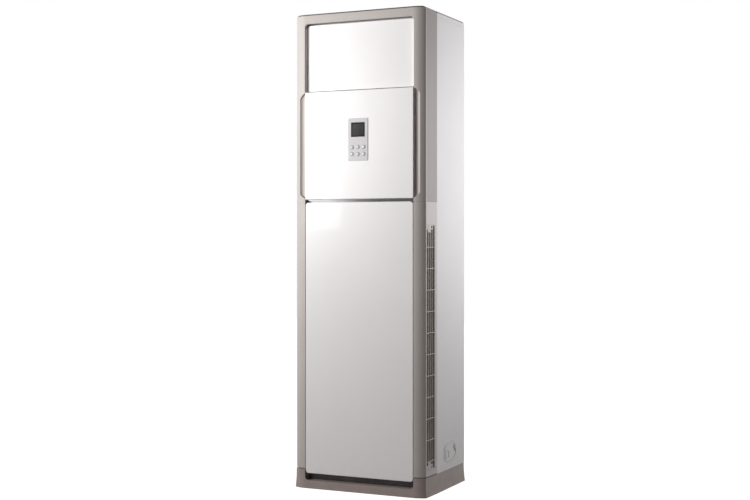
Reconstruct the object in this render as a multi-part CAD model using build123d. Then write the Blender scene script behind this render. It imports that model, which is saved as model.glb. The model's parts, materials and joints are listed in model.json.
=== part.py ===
from build123d import *
import math
import os

os.makedirs("parts", exist_ok=True)

# Floor standing air conditioner, indoor unit. Millimetres, +Z up, the front faces -Y.
# The origin is on the floor under the middle of the base.

# ---- overall sizes ---------------------------------------------------------------------------
BASE_WIDTH = 556.0
BASE_DEPTH = 410.0
HEIGHT = 1825.0

# ---- cabinet plan ----------------------------------------------------------------------------
SIDE_INSET = 3.5  # metal sides stand this far inside the foot of the base
CREASE_INSET = 6.5  # vertical crease of the front corners, inside the foot
FRONT_INSET = 5.0
REAR_INSET = 7.0
CORNER_RUN = 45.5  # width of the curved front corner
CORNER_DROP = 15.0  # how far the corner curves back
STRIP_DEPTH = 115.0  # plastic front, from its face to the metal side
WALL = 3.0  # plastic mouldings
SHEET = 1.2  # sheet steel
SEAM = 0.4  # gap where two fixed pieces meet edge to edge
RUNNING = 0.08  # radial gap of a pin in its hole
FREE = 0.3  # least gap between pieces that move past each other

# ---- heights of the front, from the floor up and from the top down ---------------------------
BASE_TOP = 73.0
NOTCH_FLOOR = 31.0
PANEL_BOTTOM = 58.0
TOP_BAND = 37.0  # frame above the outlet opening
DOOR_GAP = 5.0  # shadow gap above the door
DOOR_SHOWN = 259.0
MIDDLE_HEIGHT = 412.0
GROOVE = 12.0  # dark groove between the lower and the middle panel
FRAME_BOTTOM = BASE_TOP + 3.0
OPENING_TOP = HEIGHT - TOP_BAND
DOOR_TOP = OPENING_TOP - DOOR_GAP
MIDDLE_TOP = DOOR_TOP - DOOR_SHOWN
MIDDLE_BOTTOM = MIDDLE_TOP - MIDDLE_HEIGHT
LOWER_PANEL_TOP = MIDDLE_BOTTOM - GROOVE
FRAME_SPLIT = LOWER_PANEL_TOP - 1.0

# ---- widths and depths of the front ----------------------------------------------------------
STILE = 47.0  # from the opening to the outside of the frame
LOWER_PANEL_GAP = 2.0
MIDDLE_GAP = 0.8
DOOR_SIDE_GAP = 2.0
PANEL_DEPTH = 12.0
MIDDLE_PROUD = 1.5
DOOR_RECESS = 15.0
DOOR_THICK = 8.0
DOOR_OVERLAP = 16.0  # hidden lower edge of the closed door
OPENING_CORNER = 14.0
TOP_CORNER = 17.0
TOP_EDGE = 4.0
MOUTH_BEVEL = 1.8  # bevel round the outlet opening
SCOOP_WIDTH = 24.5
SCOOP_CORNER = 12.0
SCOOP_RISE = 18.0  # height of the slanted lower end of a scoop
SCOOP_FALL = 26.0  # and of its upper end
SCOOP_BOTTOM = MIDDLE_BOTTOM + 1.0
SCOOP_TOP = MIDDLE_TOP - 0.5
APRON_TOP = MIDDLE_BOTTOM + 128.0

# ---- derived planes --------------------------------------------------------------------------
FOOT_HALF = BASE_WIDTH / 2
FRONT = -BASE_DEPTH / 2 + FRONT_INSET
REAR = BASE_DEPTH / 2 - REAR_INSET
SIDE = FOOT_HALF - SIDE_INSET
CREASE = FOOT_HALF - CREASE_INSET
OPENING_HALF = SIDE - STILE
LOWER_PANEL_HALF = OPENING_HALF - LOWER_PANEL_GAP
MIDDLE_HALF = OPENING_HALF - MIDDLE_GAP
DOOR_HALF = OPENING_HALF - DOOR_SIDE_GAP
STRIP_REAR = FRONT + STRIP_DEPTH
CREASE_Y = FRONT + CORNER_DROP
PANEL_BACK = FRONT + PANEL_DEPTH
MIDDLE_FRONT = FRONT - MIDDLE_PROUD
DOOR_FRONT = FRONT + DOOR_RECESS
DOOR_BACK = DOOR_FRONT + DOOR_THICK
DOOR_BOTTOM = MIDDLE_TOP - DOOR_OVERLAP
DOOR_TRAVEL = DOOR_TOP - MIDDLE_TOP + 2.0
COLLAR_BACK = DOOR_FRONT - 1.5
INNER = SIDE - SHEET  # inner face of the metal sides
BEAD = 2.0  # depth of the stiffening beads in the back
BACK_INNER = REAR - 2 * SHEET - BEAD - SEAM

# ---- control pad -----------------------------------------------------------------------------
PAD_WIDTH = 83.0
PAD_HEIGHT = 161.0
PAD_TOP = MIDDLE_TOP - 107.0
PAD_BOTTOM = PAD_TOP - PAD_HEIGHT
PAD_THICK = 1.8
PAD_CORNER = 5.0
GLASS_WIDTH = 58.0
GLASS_HEIGHT = 55.0
GLASS_TOP = PAD_TOP - 15.5
GLASS_BOTTOM = GLASS_TOP - GLASS_HEIGHT
BUTTON_R = 7.5
BUTTON_COLUMNS = 3
BUTTON_PITCH = 24.4
BUTTON_ROWS = (PAD_BOTTOM + 51.5, PAD_BOTTOM + 25.5)
BUTTON_TRAVEL = 1.0
BUTTON_PROUD = 1.7
BOARD_GAP = 7.0
BOARD_THICK = 1.6
SWITCH = 3.0  # height of the switches on the board

# ---- side inlet grilles ----------------------------------------------------------------------
GRILLE_FRONT = 6.0  # from the crease to the window, along the strip
GRILLE_WIDTH = 76.0
GRILLE_BOTTOM = BASE_TOP + 25.0
GRILLE_TOP = FRAME_SPLIT - 85.0
GRILLE_PITCH = 80.0
GRILLE_BLANK = 84.0  # closed part at the top
GRILLE_DEPTH = 9.0
GRILLE_SLATS = 3
EAR_HEIGHT = 18.0  # of the plates that take the screws
TAB_WIDTH = 28.0
TAB_DROP = 11.0
SCREW_WELL = 5.2  # radius of the hole round a screw head
SCREW_SEAT = 5.0  # depth of the screw head's seat
SCREW_HEAD = 1.6

# ---- fan -------------------------------------------------------------------------------------
FAN_Z = 300.0
FAN_FRONT = -55.0
FAN_DEPTH = 140.0
WHEEL_R = 150.0
WHEEL_EYE = WHEEL_R - 26.0
WHEEL_DEPTH = FAN_DEPTH - 22.0
BLADES = 36
BLADE_THICK = 1.4
SCROLL_START = WHEEL_R + 12.0
SCROLL_END = WHEEL_R + 65.0
SCROLL_FROM = 55.0  # degrees above level where the spiral starts
SCROLL_WALL = 2.5
OUTLET_RIGHT = SCROLL_START * math.cos(math.radians(SCROLL_FROM)) + 7.0
SHAFT_R = 6.0
MOTOR_R = 65.0
MOTOR_LENGTH = 78.0
DECK_Z = 600.0

# ---- cooling coil and drain ------------------------------------------------------------------
COIL_MARGIN = 46.5  # from the side of the cabinet to the fins
COIL_THICK = 44.0
COIL_LEAN = 19.0
COIL_HEADROOM = 277.0  # from the top of the coil to the outlet duct
TUBE_R = 4.8
TUBE_ROWS = 6
PAN_HEIGHT = 30.0
PAN_Z = DECK_Z + 55.0
FRONT_PLATE_Y = FRONT + 86.0
COIL_WIDTH = 2 * (SIDE - COIL_MARGIN)
COIL_FOOT_Y = FRONT_PLATE_Y + 36.0
COIL_FOOT_Z = PAN_Z + PAN_HEIGHT + 5.0

# ---- outlet duct, louvers and vanes ----------------------------------------------------------
DUCT_FRONT = DOOR_BACK + 14.0
DUCT_REAR = FRONT_PLATE_Y + 56.0
DUCT_HALF = DOOR_HALF - 12.5
DUCT_FLOOR = MIDDLE_TOP + 13.0
DUCT_CEILING = DOOR_TOP
COIL_RISE = DUCT_FLOOR - COIL_HEADROOM - COIL_FOOT_Z
COIL_LENGTH = COIL_RISE / math.cos(math.radians(COIL_LEAN))
LOUVERS = 5
LOUVER_PITCH = 48.0
LOUVER_CHORD = 40.0
LOUVER_Y = DUCT_FRONT + 21.5
VANES = 6
VANE_PITCH = 70.0
VANE_CHORD = 40.0
VANE_Y = DUCT_REAR - 34.0
BLADE_T = 3.6
PIVOT_R = 2.5
CHEEK = 1.5  # end plates of the blades
CRANK = 15.0
CRANK_PIN_R = 2.0
LINK_WIDTH = 8.0
LINK_THICK = 2.0
STEPPER_R = 14.0
STEPPER_LENGTH = 19.0
SOCKET = 7.0  # depth of the hole that takes a driven pivot

# ---- door drive ------------------------------------------------------------------------------
MODULE = 2.0
PINION_TEETH = 14
PINION_R = MODULE * PINION_TEETH / 2
RACK_WIDTH = 10.0
RACK_X = DOOR_HALF - RACK_WIDTH - 10.5
RACK_PITCH_Y = DOOR_BACK + 7.0
PINION_Y = RACK_PITCH_Y + PINION_R
PINION_Z = DOOR_BOTTOM + 7.0
BACKLASH = 0.5
TONGUE = 5.0
TONGUE_THICK = 3.0
TONGUE_Y = DOOR_FRONT + 4.0
GUIDE_OUT = OPENING_HALF + 8.5

# ---- hinge of the lower panel ----------------------------------------------------------------
HINGE_Y = PANEL_BACK + 2.0
HINGE_Z = LOWER_PANEL_TOP - 14.0
HINGE_R = 3.0
HINGE_X = 150.0
HOOK_WIDTH = 16.0
HOOK_WALL = 3.2
RAIL_Y = HINGE_Y + 10.0
PANEL_REACH = math.hypot(HINGE_Y - FRONT, LOWER_PANEL_TOP - HINGE_Z)  # hinge to the top edge
APRON_BOTTOM = HINGE_Z + PANEL_REACH + FREE


# ---- small makers ----------------------------------------------------------------------------
def block(x0, x1, y0, y1, z0, z1):
    """A box between two corners."""
    centre = Pos((x0 + x1) / 2, (y0 + y1) / 2, (z0 + z1) / 2)
    return centre * Box(x1 - x0, y1 - y0, z1 - z0)


def rod_x(x0, x1, y, z, radius):
    return Pos((x0 + x1) / 2, y, z) * Rot(0, 90, 0) * Cylinder(radius, x1 - x0)


def rod_y(x, y0, y1, z, radius):
    return Pos(x, (y0 + y1) / 2, z) * Rot(90, 0, 0) * Cylinder(radius, y1 - y0)


def rod_z(x, y, z0, z1, radius):
    return Pos(x, y, (z0 + z1) / 2) * Cylinder(radius, z1 - z0)


def prism_up(plan, z0, z1):
    """A plan outline raised from z0 to z1."""
    return extrude(Pos(0, 0, z0) * plan, z1 - z0)


def prism_back(elevation, y0, y1):
    """An outline drawn as seen from the front, X to the right and Z up, from y0 to y1."""
    return extrude(Plane.XZ.offset(-y1) * elevation, y1 - y0)


def prism_across(side_view, x0, x1):
    """An outline drawn in Y and Z, from x0 to x1."""
    return extrude(Plane.YZ.offset(x0) * side_view, x1 - x0)


def mirrored(part):
    return mirror(part, about=Plane.YZ)


def both_sides(part):
    return part + mirrored(part)


def arch(half, bottom, top, radius):
    """A front view outline with its two upper corners rounded."""
    edges = [
        Line((-half, bottom), (half, bottom)),
        Line((half, bottom), (half, top - radius)),
        RadiusArc((half, top - radius), (half - radius, top), -radius),
        Line((half - radius, top), (-half + radius, top)),
        RadiusArc((-half + radius, top), (-half, top - radius), -radius),
        Line((-half, top - radius), (-half, bottom)),
    ]
    return make_face(edges)


def centred_rounded(x, z, width, height, radius):
    return Pos(x, z) * RectangleRounded(width, height, radius)


def group(pieces):
    """Separate solids that share one node."""
    return Compound(children=[piece.solid() for piece in pieces])


def save(part, name):
    export_step(part, f"parts/{name}.step")


# ---- plan outlines of the cabinet ------------------------------------------------------------
def corner_edges(front, crease_x, side_x, seam_y):
    """Right half of the front: flat face, curved corner, crease and slanted strip."""
    start = crease_x - CORNER_RUN
    radius = (CORNER_RUN**2 + CORNER_DROP**2) / (2 * CORNER_DROP)
    half_turn = math.atan2(CORNER_DROP, CORNER_RUN)
    middle = (start + radius * math.sin(half_turn), front + radius * (1 - math.cos(half_turn)))
    crease = (crease_x, front + CORNER_DROP)
    return [
        Line((0, front), (start, front)),
        ThreePointArc((start, front), middle, crease),
        Line(crease, (side_x, seam_y)),
    ]


def whole_outline(edges):
    return make_face(edges + [mirror(edge, about=Plane.YZ) for edge in edges])


def front_outline(inset):
    """Plan of the plastic front, inset by a wall; the inset one runs out at the back."""
    side_x = SIDE - inset
    rear_y = STRIP_REAR + (1.0 if inset else 0.0)
    edges = corner_edges(FRONT + inset, CREASE - inset, side_x, rear_y)
    return whole_outline(edges + [Line((side_x, rear_y), (0, rear_y))])


def base_outline(grow_side, grow_front, grow_rear, inset=0.0):
    """Plan of the whole cabinet, which the base follows with its own flare."""
    side_x = SIDE + grow_side - inset
    rear_y = REAR + grow_rear - inset
    front_y = FRONT - grow_front + inset
    corner = 8.0
    edges = corner_edges(front_y, CREASE + grow_side - inset, side_x, STRIP_REAR)
    edges += [
        Line((side_x, STRIP_REAR), (side_x, rear_y - corner)),
        RadiusArc((side_x, rear_y - corner), (side_x - corner, rear_y), -corner),
        Line((side_x - corner, rear_y), (0, rear_y)),
    ]
    return whole_outline(edges)


# ---- base ------------------------------------------------------------------------------------
PAN_FLOOR = 20.0
TOE_BACK = FRONT + 30.0
NOTCH_CORNER = 15.0


def base_plinth():
    """Moulded foot: the walls flare outwards to the floor, with a toe notch in the front."""
    levels = [
        (0.0, SIDE_INSET, FRONT_INSET, REAR_INSET),
        (BASE_TOP * 0.32, SIDE_INSET * 0.5, FRONT_INSET * 0.62, REAR_INSET * 0.5),
        (BASE_TOP, SIDE_INSET * 0.15, FRONT_INSET * 0.4, REAR_INSET * 0.15),
    ]
    sections = [Pos(0, 0, z) * base_outline(side, front, rear) for z, side, front, rear in levels]
    outer = loft(sections)
    inner = prism_up(base_outline(0, 0, 0, inset=WALL), -1, BASE_TOP - WALL)
    well = prism_up(base_outline(0, 0, 0, inset=22.0), -1, BASE_TOP + 1)
    plinth = outer - inner - well
    notch = centred_rounded(0, NOTCH_FLOOR + 50, 2 * OPENING_HALF, 100, NOTCH_CORNER)
    plinth -= prism_back(notch, FRONT - 20, TOE_BACK)
    shelf_half, shelf_bottom = OPENING_HALF + WALL, NOTCH_FLOOR - WALL
    shelf = block(-shelf_half, shelf_half, FRONT, TOE_BACK, shelf_bottom, NOTCH_FLOOR)
    cheek = block(OPENING_HALF, shelf_half, FRONT, TOE_BACK, shelf_bottom, BASE_TOP)
    front_pad = block(OPENING_HALF, SIDE - 6, FRONT + 8, TOE_BACK + 20, 0, PAN_FLOOR)
    rear_pad = block(OPENING_HALF, SIDE - 1, REAR - 40, REAR - 1, 0, PAN_FLOOR)
    return plinth + shelf + both_sides(cheek) + both_sides(front_pad) + both_sides(rear_pad)


def base_pan():
    """Folded steel tray on the pads of the plinth; its front edge closes the toe space."""
    half = CREASE - WALL - SEAM
    inner = half - SHEET
    front, back = TOE_BACK + SEAM, REAR - WALL - 3.0
    tray = block(-half, half, front, back, PAN_FLOOR, BASE_TOP - WALL)
    tray -= block(-inner, inner, front + SHEET, back - SHEET, PAN_FLOOR + SHEET, BASE_TOP)
    lip_half = OPENING_HALF - 1.0
    lip = block(-lip_half, lip_half, front, front + SHEET, NOTCH_FLOOR + 9, BASE_TOP + 6)
    return tray + lip


# ---- metal cabinet ---------------------------------------------------------------------------
COVER_SKIRT = 22.0
COVER_TOP = HEIGHT - 5.0
COVER_EDGE = 15.0
PANEL_TOP = COVER_TOP - COVER_SKIRT - SEAM
KNOCKOUT_Y = 46.0
KNOCKOUT_Z = 137.0
KNOCKOUT_LENGTH = 130.0
KNOCKOUT_HEIGHT = 74.0
KNOCKOUT_GAP = 0.8
KNOCKOUT_RIM = 1.4  # height of its pressed rims
RETURN = 14.0


def side_panel():
    """Right side sheet with its front and rear edges folded in."""
    rear_y = REAR
    front_y = STRIP_REAR + SEAM
    sheet = block(SIDE - SHEET, SIDE, front_y, rear_y, BASE_TOP, PANEL_TOP)
    rear_fold = block(SIDE - RETURN, SIDE, rear_y - SHEET, rear_y, BASE_TOP, PANEL_TOP)
    front_fold = block(SIDE - RETURN, SIDE, front_y, front_y + SHEET, BASE_TOP, PANEL_TOP)
    panel = sheet + rear_fold + front_fold
    outer_edge = panel.edges().filter_by(Axis.Z).sort_by(Axis.X)[-2:]
    return fillet(outer_edge, 1.0)


def knockout_outline(grow):
    slot = SlotOverall(KNOCKOUT_LENGTH + 2 * grow, KNOCKOUT_HEIGHT + 2 * grow)
    return Pos(KNOCKOUT_Y, KNOCKOUT_Z) * slot


def right_side_panel():
    return side_panel() - prism_across(knockout_outline(KNOCKOUT_GAP), SIDE - 5, SIDE + 5)


def pipe_knockout():
    """Pressed blank in the right side, held by nibs and broken out for the pipes."""
    plate = prism_across(knockout_outline(0), SIDE - SHEET, SIDE)
    reach = KNOCKOUT_HEIGHT / 2
    for y in (KNOCKOUT_Y - 20, KNOCKOUT_Y + 20):
        for way in (-1, 1):
            z = KNOCKOUT_Z + way * (reach + KNOCKOUT_GAP / 2)
            low, high = z - KNOCKOUT_GAP / 2 - 0.5 * (way > 0), z + KNOCKOUT_GAP / 2 + 0.5 * (way < 0)
            plate += block(SIDE - SHEET, SIDE, y - 2, y + 2, low, high)
    rim = knockout_outline(-5) - knockout_outline(-8)
    plate += prism_across(rim, SIDE - SHEET, SIDE + KNOCKOUT_RIM)
    small = Pos(KNOCKOUT_Y - 28, KNOCKOUT_Z - 5) * (Circle(17) - Circle(15))
    plate += prism_across(small, SIDE - SHEET, SIDE + KNOCKOUT_RIM)
    slot = Pos(KNOCKOUT_Y + 44, KNOCKOUT_Z + 8) * Rot(0, 0, -46) * SlotOverall(32, 6)
    return plate - prism_across(slot, SIDE - 5, SIDE + 5)


def rear_panel():
    """Back sheet inside the folds of the sides, with two pressed stiffening beads."""
    half = SIDE - SHEET - SEAM
    back = REAR - SHEET
    sheet = block(-half, half, back - SHEET, back, BASE_TOP, PANEL_TOP)
    for x in (-120.0, 120.0):
        bead = centred_rounded(x, (BASE_TOP + PANEL_TOP) / 2, 26, PANEL_TOP - BASE_TOP - 240, 12.9)
        core = centred_rounded(x, (BASE_TOP + PANEL_TOP) / 2, 22, PANEL_TOP - BASE_TOP - 244, 10.9)
        sheet += prism_back(bead, back - SHEET - BEAD, back - SHEET)
        sheet -= prism_back(core, back - BEAD, back)
    return sheet


def rear_top_edge(box):
    return box.edges().filter_by(Axis.X).group_by(Axis.Y)[-1].sort_by(Axis.Z)[-1]


def top_cover():
    """Folded steel cap whose skirt stands on the side panels."""
    front_y, skirt_z = STRIP_REAR + SEAM, COVER_TOP - COVER_SKIRT
    inner_top = COVER_TOP - SHEET
    cap = block(-SIDE, SIDE, front_y, REAR, skirt_z, COVER_TOP)
    cap = fillet(rear_top_edge(cap), COVER_EDGE)
    cap = fillet(cap.edges().filter_by(Axis.Y).group_by(Axis.Z)[-1], 3.0)
    hollow = block(-INNER, INNER, front_y - 1, REAR - SHEET, skirt_z - 1, inner_top)
    hollow = fillet(rear_top_edge(hollow), COVER_EDGE - SHEET)
    tuck = block(12 - SIDE, SIDE - 12, STRIP_REAR - 14, front_y + 4, inner_top - SHEET, inner_top)
    return cap - hollow + tuck


# ---- plastic front ---------------------------------------------------------------------------
def scoop_plan():
    """Plan of the hollow beside the middle panel: steep outside, deepest at the panel."""
    floor_y = COLLAR_BACK - WALL
    outer_x = OPENING_HALF + SCOOP_WIDTH
    edges = [
        Line((MIDDLE_HALF - 1, FRONT - 10), (outer_x, FRONT - 10)),
        Line((outer_x, FRONT - 10), (outer_x, FRONT + 4.6)),
        ThreePointArc((outer_x, FRONT + 4.6), (outer_x - 5.6, floor_y - 1.3), (outer_x - 18, floor_y)),
        Line((outer_x - 18, floor_y), (MIDDLE_HALF - 1, floor_y)),
        Line((MIDDLE_HALF - 1, floor_y), (MIDDLE_HALF - 1, FRONT - 10)),
    ]
    return make_face(edges)


def scoop_view():
    """Front view of the right hollow, whose ends slant in to the corners of the middle panel."""
    inner, outer = OPENING_HALF - 20, OPENING_HALF + SCOOP_WIDTH
    points = [
        (inner, SCOOP_BOTTOM),
        (OPENING_HALF, SCOOP_BOTTOM),
        (outer, SCOOP_BOTTOM + SCOOP_RISE),
        (outer, SCOOP_TOP - SCOOP_FALL),
        (OPENING_HALF, SCOOP_TOP),
        (inner, SCOOP_TOP),
    ]
    outline = make_face(Polyline(*points, close=True))
    return fillet(outline.vertices().group_by(Axis.X)[-1], SCOOP_CORNER)


def upper_front_frame():
    """Inverted U round the outlet, with the scoops and the apron behind the middle panel."""
    bottom = FRAME_SPLIT + SEAM / 2
    frame = prism_up(front_outline(0), bottom, HEIGHT)
    frame &= prism_back(arch(SIDE, 0, HEIGHT, TOP_CORNER), FRONT - 20, STRIP_REAR + 20)
    hollow = prism_up(front_outline(WALL), bottom - 1, HEIGHT - WALL)
    inner_arch = arch(SIDE - WALL, 0, HEIGHT - WALL, TOP_CORNER - WALL)
    hollow &= prism_back(inner_arch, FRONT - 20, STRIP_REAR + 20)
    outer_solid = fillet(front_top_edges(frame), TOP_EDGE)
    frame = outer_solid - hollow
    opening = arch(OPENING_HALF, bottom - 5, OPENING_TOP, OPENING_CORNER)
    collar = arch(OPENING_HALF + WALL, bottom, OPENING_TOP + WALL, OPENING_CORNER + WALL)
    frame += prism_back(collar, FRONT + 1, COLLAR_BACK)
    backing_out = OPENING_HALF + SCOOP_WIDTH + 4
    backing = block(OPENING_HALF, backing_out, FRONT, COLLAR_BACK, SCOOP_BOTTOM - 6, SCOOP_TOP + 6)
    frame += both_sides(backing & outer_solid)
    frame -= prism_back(opening, FRONT - 20, COLLAR_BACK + 1)
    frame -= mouth_bevel()
    scoop = prism_up(scoop_plan(), SCOOP_BOTTOM, SCOOP_TOP)
    frame -= both_sides(scoop & prism_back(scoop_view(), FRONT - 20, COLLAR_BACK))
    return frame + apron(bottom)


def front_top_edges(frame):
    """Edges of the top face along the flat front and its two curved corners."""
    top_edges = frame.edges().group_by(Axis.Z)[-1]
    return [edge for edge in top_edges if edge.center().Y < CREASE_Y]


def mouth_bevel():
    """What the bevel round the outlet opening takes off, above the scoops."""
    views = []
    for grow in (MOUTH_BEVEL, 0.0):
        bottom, top = SCOOP_TOP + 6 - grow, OPENING_TOP + grow
        view = arch(OPENING_HALF + grow, bottom, top, OPENING_CORNER + grow)
        views.append(Plane.XZ.offset(grow - FRONT - MOUTH_BEVEL) * view)
    return loft(views)


def apron(bottom):
    """Wall behind the middle panel, stepped back over the swing of the lower panel's top."""
    half = OPENING_HALF + WALL
    back = DOOR_FRONT + WALL
    wall = block(-half, half, DOOR_FRONT, back, APRON_BOTTOM, APRON_TOP)
    wall += block(-half, half, DOOR_FRONT, RAIL_Y + WALL, APRON_BOTTOM, APRON_BOTTOM + WALL)
    wall += block(-half, half, RAIL_Y, RAIL_Y + WALL, bottom, APRON_BOTTOM + WALL)
    side_web = block(OPENING_HALF, half, COLLAR_BACK - 1, back, bottom, APRON_TOP)
    side_foot = block(OPENING_HALF, half, COLLAR_BACK - 1, RAIL_Y + WALL, bottom, APRON_BOTTOM + WALL)
    return wall + both_sides(side_web + side_foot)


STRIP_SLOPE = (SIDE - CREASE) / (STRIP_REAR - CREASE_Y)


def strip_plane():
    """On the right slanted strip: x runs back from the crease, y is up, z points out."""
    run = Vector(SIDE - CREASE, STRIP_REAR - CREASE_Y, 0).normalized()
    return Plane(origin=(CREASE, CREASE_Y, 0), x_dir=run, z_dir=(run.Y, -run.X, 0))


def on_strip(u0, u1, z0, z1, n0, n1):
    """A box placed in the strip's own frame: along it, up, and out of it."""
    local = Pos((u0 + u1) / 2, (z0 + z1) / 2, (n0 + n1) / 2) * Box(u1 - u0, z1 - z0, n1 - n0)
    return strip_plane() * local


def lower_front_frame():
    """Two stiles and two rails round the lower panel, with a grille window in each strip."""
    top = FRAME_SPLIT - SEAM / 2
    frame = prism_up(front_outline(0), FRAME_BOTTOM, top)
    frame -= prism_up(front_outline(WALL), FRAME_BOTTOM - 1, top + 1)
    frame -= block(-OPENING_HALF, OPENING_HALF, FRONT - 20, PANEL_BACK + 5, FRAME_BOTTOM - 1, top + 1)
    collar = block(OPENING_HALF, OPENING_HALF + WALL, FRONT + 1, RAIL_Y + WALL, BASE_TOP, top)
    window = on_strip(GRILLE_FRONT, GRILLE_FRONT + GRILLE_WIDTH, GRILLE_BOTTOM, GRILLE_TOP, -8, 8)
    frame = frame + both_sides(collar) - both_sides(window)
    for z0, z1 in ((BASE_TOP, BASE_TOP + 30), (HINGE_Z - 24, top)):
        frame += block(-OPENING_HALF, OPENING_HALF, RAIL_Y, RAIL_Y + WALL, z0, z1)
    stop = block(170, 184, PANEL_BACK + FREE, RAIL_Y, BASE_TOP + 8, BASE_TOP + 20)
    frame += both_sides(stop)
    return frame + both_sides(hinge_ears())


def hinge_ears():
    """A pair of ears on the top rail with the pin that a hook of the panel hangs on."""
    gap = HOOK_WIDTH / 2 + FREE * 2
    pair = rod_x(HINGE_X - gap, HINGE_X + gap, HINGE_Y, HINGE_Z, HINGE_R)
    for x0 in (HINGE_X - gap - WALL, HINGE_X + gap):
        ear = Pos(HINGE_Y, HINGE_Z) * Circle(HINGE_R + 2.5)
        arm = Pos((HINGE_Y + RAIL_Y) / 2, HINGE_Z) * Rectangle(RAIL_Y - HINGE_Y, 2 * HINGE_R + 5)
        pair += prism_across(ear + arm, x0, x0 + WALL)
    return pair


def lower_front_panel():
    """Gloss panel: a shallow tray with ribs, hooked over the hinge pins at its top."""
    width, height = 2 * LOWER_PANEL_HALF, LOWER_PANEL_TOP - PANEL_BOTTOM
    middle = (LOWER_PANEL_TOP + PANEL_BOTTOM) / 2
    panel = prism_back(centred_rounded(0, middle, width, height, 12), FRONT, PANEL_BACK)
    panel = fillet(panel.faces().sort_by(Axis.Y)[0].edges(), 2.0)
    hollow = centred_rounded(0, middle, width - 2 * WALL, height - 2 * WALL, 9)
    panel -= prism_back(hollow, FRONT + WALL, PANEL_BACK + 1)
    rib_depth = 5.0
    rib_half, rib_back = LOWER_PANEL_HALF - 1, FRONT + WALL + rib_depth
    for z in (PANEL_BOTTOM + height * k / 5 for k in range(1, 5)):
        panel += block(-rib_half, rib_half, FRONT + 1, rib_back, z - 1, z + 1)
    return panel + both_sides(panel_hook())


def panel_hook():
    """A C round the hinge pin, open below, on a web from the panel's skin."""
    outer = HINGE_R + RUNNING + HOOK_WALL
    ring = Pos(HINGE_Y, HINGE_Z) * Circle(outer)
    web_y = (FRONT + 1 + HINGE_Y) / 2
    ring += Pos(web_y, HINGE_Z + outer / 2) * Rectangle(HINGE_Y - FRONT - 1, outer)
    ring -= Pos(HINGE_Y, HINGE_Z) * Circle(HINGE_R + RUNNING)
    ring -= Pos(HINGE_Y + 1.0, HINGE_Z - outer) * Rectangle(2 * HINGE_R - 1.2, 2 * outer - 1)
    return prism_across(ring, HINGE_X - HOOK_WIDTH / 2, HINGE_X + HOOK_WIDTH / 2)


def middle_panel():
    """Gloss panel that hides the open door; it carries the control pad."""
    width, height = 2 * MIDDLE_HALF, MIDDLE_TOP - MIDDLE_BOTTOM
    middle = (MIDDLE_TOP + MIDDLE_BOTTOM) / 2
    panel = prism_back(centred_rounded(0, middle, width, height, 3), MIDDLE_FRONT, DOOR_FRONT - 2)
    panel = fillet(panel.faces().sort_by(Axis.Y)[0].edges(), 1.6)
    hollow = centred_rounded(0, middle, width - 2 * WALL, height - 2 * WALL, 2)
    panel -= prism_back(hollow, MIDDLE_FRONT + WALL, DOOR_FRONT)
    for x in (-170.0, 170.0):
        for z in (MIDDLE_BOTTOM + 14, APRON_TOP - 14):
            panel += rod_y(x, MIDDLE_FRONT + 1, DOOR_FRONT, z, 5.0)
    hole = centred_rounded(0, (PAD_TOP + PAD_BOTTOM) / 2, PAD_WIDTH - 8, PAD_HEIGHT - 10, 3)
    return panel - prism_back(hole, MIDDLE_FRONT - 1, MIDDLE_FRONT + WALL + 1)


# ---- sliding outlet door ---------------------------------------------------------------------
def rack_teeth():
    """Straight rack on the back of the door, from its lower edge to its upper one."""
    pitch = math.pi * MODULE
    root_y, tip_y = RACK_PITCH_Y - 1.25 * MODULE, RACK_PITCH_Y + MODULE
    slope = math.tan(math.radians(20))
    half_root = (pitch - BACKLASH) / 4 + 1.25 * MODULE * slope
    half_tip = (pitch - BACKLASH) / 4 - MODULE * slope
    first = math.ceil((DOOR_BOTTOM + half_root - PINION_Z) / pitch)
    last = math.floor((DOOR_TOP - 4 - PINION_Z) / pitch)
    points = [(DOOR_BACK - 1, DOOR_BOTTOM), (root_y, DOOR_BOTTOM)]
    for k in range(first, last + 1):
        z = PINION_Z + k * pitch
        points += [(root_y, z - half_root), (tip_y, z - half_tip)]
        points += [(tip_y, z + half_tip), (root_y, z + half_root)]
    points += [(root_y, DOOR_TOP - 2), (DOOR_BACK - 1, DOOR_TOP - 2)]
    outline = make_face(Polyline(*points, close=True))
    return prism_across(outline, RACK_X, RACK_X + RACK_WIDTH)


def outlet_door():
    """Gloss door over the outlet: a tray with side tongues for the guides and the rack."""
    height = DOOR_TOP - DOOR_BOTTOM
    door = prism_back(arch(DOOR_HALF, DOOR_BOTTOM, DOOR_TOP, OPENING_CORNER - 2), DOOR_FRONT, DOOR_BACK)
    door = fillet(door.faces().sort_by(Axis.Y)[0].edges(), 1.2)
    hollow = centred_rounded(0, DOOR_BOTTOM + height / 2, 2 * DOOR_HALF - 2 * WALL, height - 2 * WALL, 10)
    door -= prism_back(hollow, DOOR_FRONT + WALL, DOOR_BACK + 1)
    for k in (1, 2):
        z = DOOR_BOTTOM + height * k / 3
        door += block(-DOOR_HALF + 1, DOOR_HALF - 1, DOOR_FRONT + 1, DOOR_BACK, z - 1, z + 1)
    rack_out = RACK_X + RACK_WIDTH
    backing = block(RACK_X, rack_out, DOOR_FRONT + 1, DOOR_BACK, DOOR_BOTTOM + 1, DOOR_TOP - 2)
    tongue_back = TONGUE_Y + TONGUE_THICK
    tongue = block(DOOR_HALF - 1, DOOR_HALF + TONGUE, TONGUE_Y, tongue_back, DOOR_BOTTOM, DOOR_TOP - 16)
    return door + both_sides(tongue) + backing + rack_teeth()


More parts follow.
